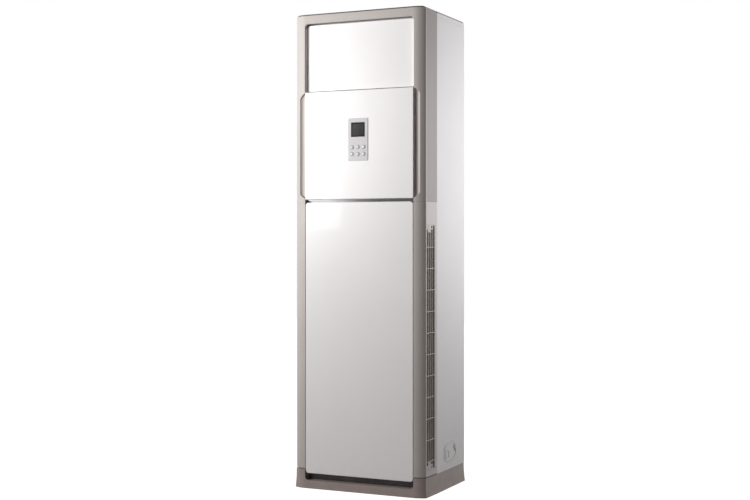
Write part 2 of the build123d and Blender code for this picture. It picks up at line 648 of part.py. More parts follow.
def door_guides():
    """Two channels behind the stiles that the tongues of the door run in."""
    z0, z1 = DOOR_BOTTOM - DOOR_TRAVEL - 2, DOOR_TOP + 2
    inner_x, web_x = DOOR_HALF + 0.8, DOOR_HALF + TONGUE + 0.5
    channel = block(inner_x, GUIDE_OUT, COLLAR_BACK, DOOR_BACK + 4, z0, z1)
    slot_y0 = TONGUE_Y - FREE
    channel -= block(inner_x - 1, web_x, slot_y0, slot_y0 + TONGUE_THICK + 2 * FREE, z0 + 1.5, z1 + 1)
    return both_sides(channel)


def involute_point(base_r, radius, start):
    """A point of an involute at a radius, turned so that the involute starts at an angle."""
    alpha = math.acos(min(1.0, base_r / radius))
    angle = start + math.tan(alpha) - alpha
    return (radius * math.cos(angle), radius * math.sin(angle))


def door_pinion():
    """Spur pinion on the door motor; its teeth have involute flanks."""
    base_r = PINION_R * math.cos(math.radians(20))
    root_r, tip_r = PINION_R - 1.25 * MODULE, PINION_R + MODULE - 0.2
    alpha = math.radians(20)
    half_pitch_angle = (math.pi * MODULE - BACKLASH) / 4 / PINION_R
    start = -(half_pitch_angle + math.tan(alpha) - alpha)
    steps = 5
    radii = [base_r + (tip_r - base_r) * k / (steps - 1) for k in range(steps)]
    rising = [involute_point(base_r, radius, start) for radius in radii]
    tooth = [(root_r * math.cos(start), root_r * math.sin(start))] + rising
    tooth += [(x, -y) for x, y in reversed(tooth)]
    points = []
    for k in range(PINION_TEETH):
        turn = math.pi + (k + 0.5) * 2 * math.pi / PINION_TEETH
        cos, sin = math.cos(turn), math.sin(turn)
        points += [(x * cos - y * sin, x * sin + y * cos) for x, y in tooth]
    outline = make_face(Polyline(*points, close=True))
    x0 = RACK_X + 0.5
    gear = prism_across(Pos(PINION_Y, PINION_Z) * outline, x0, x0 + RACK_WIDTH - 1)
    return gear + rod_x(x0, RACK_X + RACK_WIDTH + 9, PINION_Y, PINION_Z, 3.0)


def door_motor():
    """Geared motor on a folded bracket under the outlet duct."""
    x0 = RACK_X + RACK_WIDTH + 2.0
    can = rod_x(x0, x0 + 20, PINION_Y, PINION_Z, STEPPER_R + 1)
    under = DUCT_FLOOR - WALL
    plate = block(x0, x0 + 1.5, PINION_Y - 12, PINION_Y + 20, PINION_Z - 14, under)
    flange = block(RACK_X - 6, x0 + 1.5, PINION_Y - 12, PINION_Y + 20, under - 1.5, under)
    bore = rod_x(x0 - 1, x0 + 8, PINION_Y, PINION_Z, 3.0 + RUNNING)
    return can + plate + flange - bore


# ---- outlet duct, louvers and vanes ----------------------------------------------------------
def louver_heights():
    middle = (DUCT_FLOOR + DUCT_CEILING) / 2
    return [middle + (k - (LOUVERS - 1) / 2) * LOUVER_PITCH for k in range(LOUVERS)]


def vane_places():
    return [(k - (VANES - 1) / 2) * VANE_PITCH for k in range(VANES)]


MASTER_LOUVER = LOUVERS // 2
MASTER_VANE = VANES // 2


def duct_box(reach, y0, y1):
    """A block past the duct's inner faces at the sides and the top, on its floor."""
    half = DUCT_HALF + reach
    return block(-half, half, y0, y1, DUCT_FLOOR - WALL, DUCT_CEILING + reach)


def outlet_duct():
    """Open ended moulded duct with the pivot holes of the louvers and vanes."""
    duct = duct_box(WALL, DUCT_FRONT, DUCT_REAR)
    duct += duct_box(8, DUCT_FRONT, DUCT_FRONT + WALL) + duct_box(12, DUCT_REAR - WALL, DUCT_REAR)
    duct -= block(-DUCT_HALF, DUCT_HALF, DUCT_FRONT - 1, DUCT_REAR + 1, DUCT_FLOOR, DUCT_CEILING)
    for z in (DUCT_FLOOR + 24, DUCT_CEILING - 30):
        ear = block(RACK_X + RACK_WIDTH + 2, GUIDE_OUT - 4, DOOR_BACK + 4, DUCT_FRONT + WALL, z, z + 14)
        duct += both_sides(ear)
    for z in louver_heights():
        duct -= rod_x(-DUCT_HALF - 5, DUCT_HALF + 5, LOUVER_Y, z, PIVOT_R + RUNNING)
    for x in vane_places():
        duct -= rod_z(x, VANE_Y, DUCT_FLOOR - 5, DUCT_CEILING + 5, PIVOT_R + RUNNING)
    return duct


def lens(chord, thick):
    """Blade section, thickest in the middle, with its chord along the first axis."""
    half = chord / 2
    edges = [
        Line((-half, -0.5), (-half, 0.5)),
        ThreePointArc((-half, 0.5), (0, thick / 2), (half, 0.5)),
        Line((half, 0.5), (half, -0.5)),
        ThreePointArc((half, -0.5), (0, -thick / 2), (-half, -0.5)),
    ]
    return make_face(edges)


def cheek_outline(along, across):
    """End plate of a blade, from its pivot to its crank pin."""
    return Pos(along + CRANK / 2, across) * SlotOverall(CRANK + 9, 8.5)


def louver(z, driven):
    """Horizontal louver: lens blade, an end plate at each end, pivots and crank pin."""
    end = DUCT_HALF - 5.0
    blade = prism_across(Pos(LOUVER_Y, z) * lens(LOUVER_CHORD, BLADE_T), -end, end)
    cheek = prism_across(cheek_outline(LOUVER_Y, z), end - CHEEK, end)
    wall = DUCT_HALF + WALL
    reach = wall + (SOCKET - 1 if driven else 0)
    pivots = rod_x(end - 1, reach, LOUVER_Y, z, PIVOT_R) + rod_x(-wall, 1 - end, LOUVER_Y, z, PIVOT_R)
    pin = rod_x(-DUCT_HALF + 0.6, 1 - end, LOUVER_Y + CRANK, z, CRANK_PIN_R)
    return blade + both_sides(cheek) + pivots + pin


def louver_link():
    """Upright bar that ties the crank pins of the louvers together."""
    x0 = -DUCT_HALF + 1.2
    heights = louver_heights()
    bar_view = Pos(LOUVER_Y + CRANK, sum(heights) / LOUVERS) * Rot(0, 0, 90)
    length = heights[-1] - heights[0] + 12
    bar = prism_across(bar_view * SlotOverall(length, LINK_WIDTH), x0, x0 + LINK_THICK)
    for z in heights:
        bar -= rod_x(x0 - 1, x0 + 3, LOUVER_Y + CRANK, z, CRANK_PIN_R + RUNNING)
    return bar


def vane(x, driven):
    """Vertical vane: lens blade with an end plate, pivots and crank pin at its foot."""
    low, high = DUCT_FLOOR + 6.0, DUCT_CEILING - 3.0
    plan = Pos(x, VANE_Y) * Rot(0, 0, 90) * lens(VANE_CHORD, BLADE_T)
    blade = prism_up(plan, low, high)
    cheek = prism_up(Pos(x, VANE_Y) * Rot(0, 0, 90) * cheek_outline(0, 0), low, low + CHEEK)
    foot = DUCT_FLOOR - WALL - (SOCKET - 1 if driven else 0)
    pivots = rod_z(x, VANE_Y, foot, low + 1, PIVOT_R)
    pivots += rod_z(x, VANE_Y, high - 1, DUCT_CEILING + WALL, PIVOT_R)
    pin = rod_z(x, VANE_Y + CRANK, DUCT_FLOOR + 1.5, low + 1, CRANK_PIN_R)
    return blade + cheek + pivots + pin


def vane_link():
    """Level bar that ties the crank pins of the vanes together."""
    places = vane_places()
    z0 = DUCT_FLOOR + 2.6
    plan = SlotOverall(places[-1] - places[0] + 12, LINK_WIDTH)
    bar = prism_up(Pos(0, VANE_Y + CRANK) * plan, z0, z0 + LINK_THICK)
    for x in places:
        bar -= rod_z(x, VANE_Y + CRANK, z0 - 1, z0 + 3, CRANK_PIN_R + RUNNING)
    return bar


def louver_motor():
    """Geared motor on the right wall of the duct, round the driven louver's pivot."""
    z = louver_heights()[MASTER_LOUVER]
    x0 = DUCT_HALF + WALL
    can = rod_x(x0, x0 + STEPPER_LENGTH, LOUVER_Y, z, STEPPER_R)
    ears = block(x0, x0 + 1.5, LOUVER_Y - 5, LOUVER_Y + 5, z - 21, z + 21)
    return can + ears - rod_x(x0 - 1, x0 + SOCKET, LOUVER_Y, z, PIVOT_R + RUNNING)


def vane_motor():
    """Geared motor under the floor of the duct, round the driven vane's pivot."""
    x = vane_places()[MASTER_VANE]
    z1 = DUCT_FLOOR - WALL
    can = rod_z(x, VANE_Y, z1 - STEPPER_LENGTH, z1, STEPPER_R)
    ears = block(x - 21, x + 21, VANE_Y - 5, VANE_Y + 5, z1 - 1.5, z1)
    return can + ears - rod_z(x, VANE_Y, z1 - SOCKET, z1 + 1, PIVOT_R + RUNNING)


# ---- control pad -----------------------------------------------------------------------------
PAD_BACK = MIDDLE_FRONT
PAD_FRONT = PAD_BACK - PAD_THICK
BOARD_FRONT = PAD_BACK + BOARD_GAP
PAD_MIDDLE = (PAD_TOP + PAD_BOTTOM) / 2
BUTTON_XS = [(column - (BUTTON_COLUMNS - 1) / 2) * BUTTON_PITCH for column in range(BUTTON_COLUMNS)]
BUTTON_PLACES = [(x, z) for z in BUTTON_ROWS for x in BUTTON_XS]
POST_X = PAD_WIDTH / 2 - 9.0
POST_ZS = (PAD_BOTTOM + 11.0, PAD_TOP - 11.0)


def control_bezel():
    """Silver pad plate with the display window, the button holes and four board posts."""
    plate_view = centred_rounded(0, PAD_MIDDLE, PAD_WIDTH, PAD_HEIGHT, PAD_CORNER)
    plate = prism_back(plate_view, PAD_FRONT, PAD_BACK)
    plate = fillet(plate.faces().sort_by(Axis.Y)[0].edges(), 0.8)
    glass_middle = (GLASS_TOP + GLASS_BOTTOM) / 2
    window = centred_rounded(0, glass_middle, GLASS_WIDTH, GLASS_HEIGHT, 1.5)
    plate -= prism_back(window, PAD_FRONT - 1, PAD_BACK + 1)
    for x, z in BUTTON_PLACES:
        plate -= rod_y(x, PAD_FRONT - 1, PAD_BACK + 1, z, BUTTON_R + FREE)
    for x in (-POST_X, POST_X):
        for z in POST_ZS:
            plate += rod_y(x, PAD_BACK - 0.5, BOARD_FRONT, z, 2.5)
    return plate


def display_window():
    """Dark clear cover of the display, with a flange behind the pad plate."""
    middle = (GLASS_TOP + GLASS_BOTTOM) / 2
    front = centred_rounded(0, middle, GLASS_WIDTH - 0.4, GLASS_HEIGHT - 0.4, 1.3)
    flange = centred_rounded(0, middle, GLASS_WIDTH + 5, GLASS_HEIGHT + 5, 1.3)
    return prism_back(front, PAD_FRONT + 0.3, PAD_BACK) + prism_back(flange, PAD_BACK, PAD_BACK + 0.8)


def control_board():
    """Circuit board on the posts of the pad, with the display module and the switches."""
    board_view = centred_rounded(0, PAD_MIDDLE, PAD_WIDTH - 12, PAD_HEIGHT - 16, 2)
    board = prism_back(board_view, BOARD_FRONT, BOARD_FRONT + BOARD_THICK)
    half, module_back = GLASS_WIDTH / 2, BOARD_FRONT + 0.5
    board += block(-half, half, PAD_BACK + 1.0, module_back, GLASS_BOTTOM + 2, GLASS_TOP - 2)
    for x, z in BUTTON_PLACES:
        board += block(x - 3, x + 3, BOARD_FRONT - SWITCH, BOARD_FRONT + 0.5, z - 3, z + 3)
    return board


def button(x, z):
    """Round cap with a bevelled face, a flange behind the pad plate and a stem to its switch."""
    tip = PAD_FRONT - BUTTON_PROUD
    flange_front = PAD_BACK + FREE
    flange_r, stem_r = BUTTON_R + 1.4, 3.0
    stem_end = BOARD_FRONT - SWITCH - BUTTON_TRAVEL - FREE
    half = Polyline(
        (0, tip),
        (BUTTON_R - 1.2, tip),
        (BUTTON_R, tip + 1.2),
        (BUTTON_R, flange_front),
        (flange_r, flange_front),
        (flange_r, flange_front + 1.0),
        (stem_r, flange_front + 1.0),
        (stem_r, stem_end),
        (0, stem_end),
        close=True,
    )
    return Pos(x, 0, z) * revolve(make_face(half), Axis.Y)


# ---- inlet grilles and filters ---------------------------------------------------------------
SCREW_R = 3.6


def strip_screw_places():
    """Along the strip and up, the screws of one grille."""
    middle = GRILLE_FRONT + GRILLE_WIDTH * 0.62
    return [(middle, GRILLE_TOP - EAR_HEIGHT / 2), (middle, GRILLE_BOTTOM + EAR_HEIGHT / 2)]


def grille_ears(u0, z0, z1):
    """Plates across the two ends of the grille, each with a tab and a well for its screw."""
    back, face = -WALL - GRILLE_DEPTH, -0.8
    reach = GRILLE_FRONT + GRILLE_WIDTH * 0.62 + SCREW_WELL + 5
    tab0 = (u0 + reach - TAB_WIDTH) / 2
    tab1 = tab0 + TAB_WIDTH
    top, foot = z1 - EAR_HEIGHT, z0 + EAR_HEIGHT
    ears = on_strip(u0 + 1, reach, top, z1 - 0.5, back, face)
    ears += on_strip(tab0, tab1, top - TAB_DROP, top + 1, back, face - 1)
    ears += on_strip(u0 + 1, reach, z0 + 0.5, foot, back, face)
    return ears + on_strip(tab0, tab1, foot - 1, foot + TAB_DROP, back, face - 1)


def inlet_grille():
    """Right grille: rim, upright slats, thin cross ribs, a blank top and two screw ears."""
    u0, u1 = GRILLE_FRONT + SEAM, GRILLE_FRONT + GRILLE_WIDTH - SEAM
    z0, z1 = GRILLE_BOTTOM + SEAM, GRILLE_TOP - SEAM
    back = -WALL - GRILLE_DEPTH
    grille = on_strip(u0, u1, z0, z1, back, -1.0) - on_strip(u0 + 3, u1 - 3, z0 + 3, z1 - 3, back - 1, 1)
    seat = -WALL * (1 + STRIP_SLOPE) - 0.1
    flange = on_strip(WALL + 0.8, u1 + 4, z0 - 4, z1 + 4, seat - 2, seat)
    grille += flange - on_strip(u0 + 1, u1 - 1, z0 + 1, z1 - 1, -9, 1)
    grille += on_strip(u0 + 1, u1 - 1, z1 - GRILLE_BLANK, z1 - 1, back, back + 2)
    step = (u1 - u0 - 6) / (GRILLE_SLATS + 1)
    for k in range(1, GRILLE_SLATS + 1):
        u = u0 + 3 + step * k
        grille += on_strip(u - 1.6, u + 1.6, z0 + 1, z1 - 1, back, -2.6)
    z = z1 - GRILLE_BLANK
    while z > z0 + 20:
        grille += on_strip(u0 + 1, u1 - 1, z - 1.2, z + 1.2, back, -1.8)
        z -= GRILLE_PITCH
    grille += grille_ears(u0, z0, z1)
    for u, z in strip_screw_places():
        grille -= strip_plane() * (Pos(u, z, 0) * Cylinder(SCREW_WELL, 2 * SCREW_SEAT))
    return grille


def filter_screen():
    """Right washable filter: a frame with cross bars and a fine screen, behind the grille."""
    n1 = -WALL - GRILLE_DEPTH - FREE
    n0 = n1 - 4.0
    u0, u1 = GRILLE_FRONT - 2, GRILLE_FRONT + GRILLE_WIDTH + 2
    z0, z1 = GRILLE_BOTTOM + 4, GRILLE_TOP - GRILLE_BLANK + 6
    screen = on_strip(u0, u1, z0, z1, n0, n1) - on_strip(u0 + 5, u1 - 5, z0 + 5, z1 - 5, n0 - 1, n1 + 1)
    screen += on_strip(u0 + 4, u1 - 4, z0 + 4, z1 - 4, n0 + 1.6, n0 + 2.2)
    bars = 9
    for k in range(1, bars):
        z = z0 + (z1 - z0) * k / bars
        screen += on_strip(u0 + 1, u1 - 1, z - 1.2, z + 1.2, n0, n1)
    return screen


def screws():
    """Pan head screws of the grilles and of the rear panel."""
    heads = []
    for u, z in strip_screw_places():
        head = strip_plane() * (Pos(u, z, SCREW_HEAD / 2 - SCREW_SEAT) * Cylinder(SCREW_R, SCREW_HEAD))
        heads += [head, mirrored(head)]
    for z in (BASE_TOP + 25, 500, 950, 1400, PANEL_TOP - 25):
        head = rod_y(SIDE - RETURN / 2, REAR, REAR + 1.8, z, SCREW_R)
        heads += [head, mirrored(head)]
    return group(heads)


# ---- fan -------------------------------------------------------------------------------------
SCROLL_GROWTH = math.log(SCROLL_END / SCROLL_START) / math.radians(180 + SCROLL_FROM)
FAN_REAR = FAN_FRONT + FAN_DEPTH
WHEEL_FRONT = FAN_FRONT + 10.0
WHEEL_REAR = WHEEL_FRONT + WHEEL_DEPTH
EYE_RING_R = WHEEL_EYE - 3.0


def scroll_point(turned, grow):
    """A point of the spiral wall, a number of degrees past its start at the cut-off."""
    radius = SCROLL_START * math.exp(SCROLL_GROWTH * math.radians(turned)) + grow
    angle = math.radians(SCROLL_FROM - turned)
    return (radius * math.cos(angle), FAN_Z + radius * math.sin(angle))


def scroll_outline(grow, top):
    """Front view of the scroll: spiral, then a straight throat up to the deck."""
    sweep_angle = 180 + SCROLL_FROM
    steps = 9
    spiral = Spline([scroll_point(sweep_angle * k / steps, grow) for k in range(steps + 1)])
    start, end = scroll_point(0, grow), scroll_point(sweep_angle, grow)
    right = OUTLET_RIGHT + grow
    return make_face([spiral, Polyline(end, (end[0], top), (right, top), (right, start[1] + 12), start)])


def volute_casing():
    """Scroll casing of the fan, with the eye in front and feet on the base pan."""
    casing = prism_back(scroll_outline(SCROLL_WALL, DECK_Z - SEAM), FAN_FRONT, FAN_REAR)
    left, right = -SCROLL_END - 14, OUTLET_RIGHT + 14
    flange = block(left, right, FAN_FRONT - 8, FAN_REAR + 8, DECK_Z - 3, DECK_Z - SEAM)
    feet_top = FAN_Z - SCROLL_START * 0.8
    foot = block(88, 100, FAN_FRONT + 4, FAN_REAR - 4, PAN_FLOOR + SHEET, feet_top)
    pad = block(76, 112, FAN_FRONT + 4, FAN_REAR - 4, PAN_FLOOR + SHEET, PAN_FLOOR + SHEET + 3)
    casing += flange + both_sides(foot + pad)
    casing -= prism_back(scroll_outline(0, DECK_Z + 5), FAN_FRONT + SCROLL_WALL, FAN_REAR - SCROLL_WALL)
    casing -= rod_y(0, FAN_FRONT - 1, FAN_FRONT + 5, FAN_Z, EYE_RING_R + 6)
    return casing - rod_y(0, FAN_REAR - 5, FAN_REAR + 1, FAN_Z, 24)


def inlet_ring():
    """Bell mouth that leads the air into the eye of the wheel: throat, quarter round and rim."""
    throat, bell, thick = EYE_RING_R, 16.0, 2.0
    spring = FAN_FRONT - 4.0
    lip = spring - bell
    rim = throat + bell
    diagonal = math.sqrt(0.5)
    centre_x = throat + bell
    inner_middle = (centre_x - bell * diagonal, spring - bell * diagonal)
    outer = bell - thick
    outer_middle = (centre_x - outer * diagonal, spring - outer * diagonal)
    seat = FAN_FRONT - SEAM
    profile = make_face(
        [
            Line((throat, WHEEL_FRONT + 6), (throat, spring)),
            ThreePointArc((throat, spring), inner_middle, (rim, lip)),
            Polyline((rim, lip), (rim + thick, lip), (rim + thick, seat), (rim, seat), (rim, lip + thick)),
            ThreePointArc((rim, lip + thick), outer_middle, (throat + thick, spring)),
            Polyline((throat + thick, spring), (throat + thick, WHEEL_FRONT + 6), (throat, WHEEL_FRONT + 6)),
        ]
    )
    return Pos(0, 0, FAN_Z) * revolve(profile, Axis.Y)


def fan_wheel():
    """Forward curved centrifugal wheel: back disc with hub, blades and front ring."""
    hub_r, dish_r, dish_height, ring_width = 19.0, 46.0, 14.0, 12.0
    disc = rod_y(0, WHEEL_REAR - 2, WHEEL_REAR, 0, WHEEL_R - 2)
    disc += rod_y(0, WHEEL_REAR - 34, WHEEL_REAR + 4, 0, hub_r)
    dish = Cone(dish_r, hub_r, dish_height)
    disc += Pos(0, WHEEL_REAR - 2 - dish_height / 2, 0) * Rot(90, 0, 0) * dish
    ring = rod_y(0, WHEEL_FRONT, WHEEL_FRONT + 3, 0, WHEEL_R)
    ring -= rod_y(0, WHEEL_FRONT - 1, WHEEL_FRONT + 4, 0, WHEEL_R - ring_width)
    blade = Plane.XZ.offset(-WHEEL_REAR + 1) * blade_outline()
    blade = extrude(blade, WHEEL_REAR - WHEEL_FRONT - 2)
    blades = [Rot(0, 360 * k / BLADES, 0) * blade for k in range(BLADES)]
    wheel = disc + ring + blades
    return Pos(0, 0, FAN_Z) * (wheel - rod_y(0, WHEEL_REAR - 40, WHEEL_REAR + 10, 0, SHAFT_R))


def blade_outline():
    """One blade seen from the front, curving forward from the eye to the rim."""
    lead = math.radians(5.5)
    eye = WHEEL_EYE + 2
    rim = WHEEL_R - 1.5
    bulge = (eye + rim) / 2

    def at(radius, angle):
        return (radius * math.cos(angle), radius * math.sin(angle))

    thick = BLADE_THICK / WHEEL_R
    edges = [
        ThreePointArc(at(eye, 0), at(bulge, 0.22 * lead), at(rim, lead)),
        Line(at(rim, lead), at(rim, lead + thick)),
        ThreePointArc(at(rim, lead + thick), at(bulge, 0.22 * lead + thick), at(eye, thick)),
        Line(at(eye, thick), at(eye, 0)),
    ]
    return make_face(edges)


MOTOR_FRONT = FAN_REAR + 5.0


def motor_shaft():
    return rod_y(0, WHEEL_REAR - 40, MOTOR_FRONT + MOTOR_LENGTH - 8, FAN_Z, SHAFT_R)


def fan_motor():
    """Motor can with end shields, four feet and the bore that the shaft runs in."""
    rear = MOTOR_FRONT + MOTOR_LENGTH
    motor = rod_y(0, MOTOR_FRONT + 8, rear - 10, FAN_Z, MOTOR_R)
    motor += rod_y(0, MOTOR_FRONT, rear, FAN_Z, MOTOR_R - 9)
    motor += rod_y(0, MOTOR_FRONT - 3, MOTOR_FRONT + 1, FAN_Z, 20)
    for x, z in motor_feet():
        motor += rod_y(x, MOTOR_FRONT, MOTOR_FRONT + 12, z, 10)
    plate_half = MOTOR_R * 1.05
    motor += block(-plate_half, plate_half, MOTOR_FRONT + 8, MOTOR_FRONT + 12, FAN_Z - 45, FAN_Z + 45)
    return motor - rod_y(0, MOTOR_FRONT - 5, rear - 6, FAN_Z, SHAFT_R + RUNNING)


def motor_feet():
    reach = MOTOR_R * 0.92
    return [(x, z) for x in (-reach, reach) for z in (FAN_Z - 34, FAN_Z + 34)]


def motor_bushes():
    """Four rubber bushes between the motor and the back of the casing."""
    return group([rod_y(x, FAN_REAR, MOTOR_FRONT, z, 9) for x, z in motor_feet()])


# ---- partitions ------------------------------------------------------------------------------
PLATE_HALF = SIDE - 29.5  # the front plate stands between the filters
FOLD_Y = STRIP_REAR + SEAM + SHEET + SEAM
PIPE_X = PLATE_HALF - 1.0
GAS_Y = 25.0
LIQUID_Y = 50.0
GAS_R = 7.94
LIQUID_R = 4.76
HOSE_Y = FOLD_Y + 21.0
HOSE_R = 10.0
HOSE_WALL = 2.5
HOSE_END = 110.0


def partition_deck():
    """Level plate between the fan space and the coil space, on the side folds."""
    half = INNER - SEAM
    deck = block(-half, half, FOLD_Y, BACK_INNER, DECK_Z, DECK_Z + 1.5)
    deck += block(-PLATE_HALF, PLATE_HALF, FRONT_PLATE_Y - SHEET, FOLD_Y, DECK_Z, DECK_Z + 1.5)
    throat_front, throat_rear = FAN_FRONT + SCROLL_WALL, FAN_REAR - SCROLL_WALL
    deck -= block(-SCROLL_END, OUTLET_RIGHT, throat_front, throat_rear, DECK_Z - 5, DECK_Z + 5)
    for y, radius in ((GAS_Y, GAS_R), (LIQUID_Y, LIQUID_R), (HOSE_Y, HOSE_R)):
        deck -= rod_z(PIPE_X, y, DECK_Z - 5, DECK_Z + 5, radius + 1.0)
    return deck


def coil_front_plate():
    """Upright plate in front of the coil, from the deck to the outlet duct."""
    half = INNER - SEAM
    z0, z1 = DECK_Z + 1.5, DUCT_FLOOR - WALL
    plate = block(-PLATE_HALF, PLATE_HALF, FRONT_PLATE_Y - SHEET, FRONT_PLATE_Y, z0, z1)
    side = block(PLATE_HALF - SHEET, PLATE_HALF, FRONT_PLATE_Y - SHEET, FOLD_Y + SHEET, z0, z1)
    ledge = block(PLATE_HALF - SHEET, half, FOLD_Y, FOLD_Y + SHEET, z0, z1)
    plate += both_sides(side + ledge)
    x = vane_places()[MASTER_VANE]
    return plate - block(x - 24, x + 24, FRONT_PLATE_Y - 5, FRONT_PLATE_Y + 5, DUCT_FLOOR - 30, DUCT_FLOOR)


# ---- cooling coil ----------------------------------------------------------------------------
def coil_place():
    """Frame of the leaning coil: origin at the middle of its foot, z along its length."""
    return Pos(0, COIL_FOOT_Y + COIL_THICK / 2, COIL_FOOT_Z) * Rot(-COIL_LEAN, 0, 0)


def return_bend(x, low, high, y):
    """Half turn of copper tube between two rows, standing out of an end plate."""
    radius = (high - low) / 2
    path = ThreePointArc((x, y, low), (x + radius, y, low + radius), (x, y, high))
    return sweep(Plane(origin=(x, y, low), z_dir=(1, 0, 0)) * Circle(TUBE_R), path=path)


def evaporator_coil():
    """Fin pack between two flanged end plates, with the return bends at the right."""
    half = COIL_WIDTH / 2
    deep = COIL_THICK / 2
    pack = block(-half, half, -deep, deep, 0, COIL_LENGTH)
    for x0 in (-half - 1.5, half):
        pack += block(x0, x0 + 1.5, -deep - 6, deep + 6, 0, COIL_LENGTH)
    pitch = COIL_LENGTH / (2 * TUBE_ROWS)
    for k in range(TUBE_ROWS):
        low = pitch * (2 * k + 0.5)
        pack += return_bend(half + 1.0, low, low + pitch, -deep / 2 if k % 2 else deep / 2)
    return coil_place() * pack


def pipe_start(y_offset, along):
    """A point on the right end plate of the coil."""
    spot = coil_place() * Pos(COIL_WIDTH / 2 + 1.5, y_offset, along)
    return spot.position


def pipe_run(radius, drop_y, y_offset, along):
    """Tube out of the coil, bent down to a flare nut beside the fan."""
    start = pipe_start(y_offset, along)
    end_z = 240.0
    corner_a = (PIPE_X, start.Y, start.Z)
    corner_b = (PIPE_X, drop_y, start.Z - 60)
    path = FilletPolyline(start, corner_a, corner_b, (PIPE_X, drop_y, end_z), radius=(6, 18))
    tube = sweep(Plane(origin=start, z_dir=(1, 0, 0)) * Circle(radius), path=path)
    nut = prism_up(Pos(PIPE_X, drop_y) * RegularPolygon(radius * 1.75, 6), end_z - 14, end_z + 10)
    return tube + nut


def refrigerant_pipes():
    """The gas pipe and the thinner liquid pipe, each ending in a flare nut."""
    pitch = COIL_LENGTH / TUBE_ROWS
    return group([pipe_run(GAS_R, GAS_Y, 8.0, pitch), pipe_run(LIQUID_R, LIQUID_Y, 8.0, 2 * pitch)])


# ---- drain -----------------------------------------------------------------------------------
def drain_pan():
    """Trough under the foot of the coil, with a spout at the right."""
    y0, y1 = FRONT_PLATE_Y + SEAM, COIL_FOOT_Y + COIL_THICK + 14
    half, sump_x, sump_y = COIL_WIDTH / 2 + 8, PIPE_X + HOSE_R + 6, FOLD_Y + SHEET + SEAM
    top = PAN_Z + PAN_HEIGHT
    trough = block(-half, half, y0, y1, PAN_Z, top) + block(0, sump_x, sump_y, y1, PAN_Z, top)
    trough -= block(2 - half, half - 2, y0 + 2, y1 - 2, PAN_Z + 2, top + 1)
    trough -= block(0, sump_x - 2, sump_y + 2, y1 - 2, PAN_Z + 2, top + 1)
    trough += rod_z(PIPE_X, HOSE_Y, PAN_Z - 16, PAN_Z + 1, HOSE_R - HOSE_WALL)
    trough -= rod_z(PIPE_X, HOSE_Y, PAN_Z - 20, PAN_Z + 5, HOSE_R - HOSE_WALL - 2)
    for x in (-200.0, 150.0):
        leg = block(x, x + 20, y0, y0 + 20, DECK_Z + 1.5, PAN_Z + 1)
        trough += leg
    return trough


def drain_hose():
    """Straight hose pushed over the spout, down to the height of the knock-out."""
    tube = rod_z(PIPE_X, HOSE_Y, HOSE_END, PAN_Z - SEAM, HOSE_R)
    return tube - rod_z(PIPE_X, HOSE_Y, HOSE_END - 10, PAN_Z, HOSE_R - HOSE_WALL)


# ---- electrical box --------------------------------------------------------------------------
EBOX_HALF = 150.0
EBOX_HEIGHT = 240.0
EBOX_BOTTOM = DECK_Z + 160.0
EBOX_TOP = EBOX_BOTTOM + EBOX_HEIGHT
EBOX_FRONT = RAIL_Y + WALL + 5.0


def electrical_box():
    """Open steel box on the front plate, with four posts for the board."""
    back, inner = FRONT_PLATE_Y - SHEET, EBOX_HALF - SHEET
    box = block(-EBOX_HALF, EBOX_HALF, EBOX_FRONT, back, EBOX_BOTTOM, EBOX_TOP)
    box -= block(-inner, inner, EBOX_FRONT - 1, back - SHEET, EBOX_BOTTOM + SHEET, EBOX_TOP - SHEET)
    for x in (-100.0, 100.0):
        for z in (EBOX_BOTTOM + 50, EBOX_TOP - 50):
            box += rod_y(x, back - 10, back - SHEET + 0.5, z, 3.5)
    return box


def electrical_cover():
    """Lid of the electrical box, folded over its upper and lower edge."""
    half, reach = EBOX_HALF + 2.0, SEAM + SHEET
    front = EBOX_FRONT - SHEET
    bottom, top = EBOX_BOTTOM - reach, EBOX_TOP + reach
    cover = block(-half, half, front, EBOX_FRONT, bottom, top)
    for z0 in (bottom, top - SHEET):
        cover += block(-half, half, front, EBOX_FRONT + 8, z0, z0 + SHEET)
    return cover


def main_board():
    """Control board on the four posts, with its terminal strip, transformer and relays."""
    y1 = FRONT_PLATE_Y - SHEET - 10
    board = block(-120, 120, y1 - 1.6, y1, EBOX_BOTTOM + 30, EBOX_TOP - 30)
    board += block(-110, -10, y1 - 16, y1 - 1, EBOX_BOTTOM + 36, EBOX_BOTTOM + 56)
    board += block(40, 90, y1 - 32, y1 - 1, EBOX_TOP - 95, EBOX_TOP - 50)
    for k in range(4):
        board += block(-105 + 30 * k, -85 + 30 * k, y1 - 17, y1 - 1, EBOX_BOTTOM + 100, EBOX_BOTTOM + 130)
    return board


def run_capacitor():
    """Oval motor capacitor standing in the corner of the electrical box."""
    x, y = EBOX_HALF - 17, EBOX_FRONT + 24
    can = prism_up(Pos(x, y) * Rot(0, 0, 90) * SlotOverall(40, 24), EBOX_BOTTOM + SHEET, EBOX_BOTTOM + 75)
    tags = block(x - 1, x + 1, y - 8, y - 4, EBOX_BOTTOM + 74, EBOX_BOTTOM + 84)
    tags += block(x - 1, x + 1, y + 4, y + 8, EBOX_BOTTOM + 74, EBOX_BOTTOM + 84)
    return can + tags


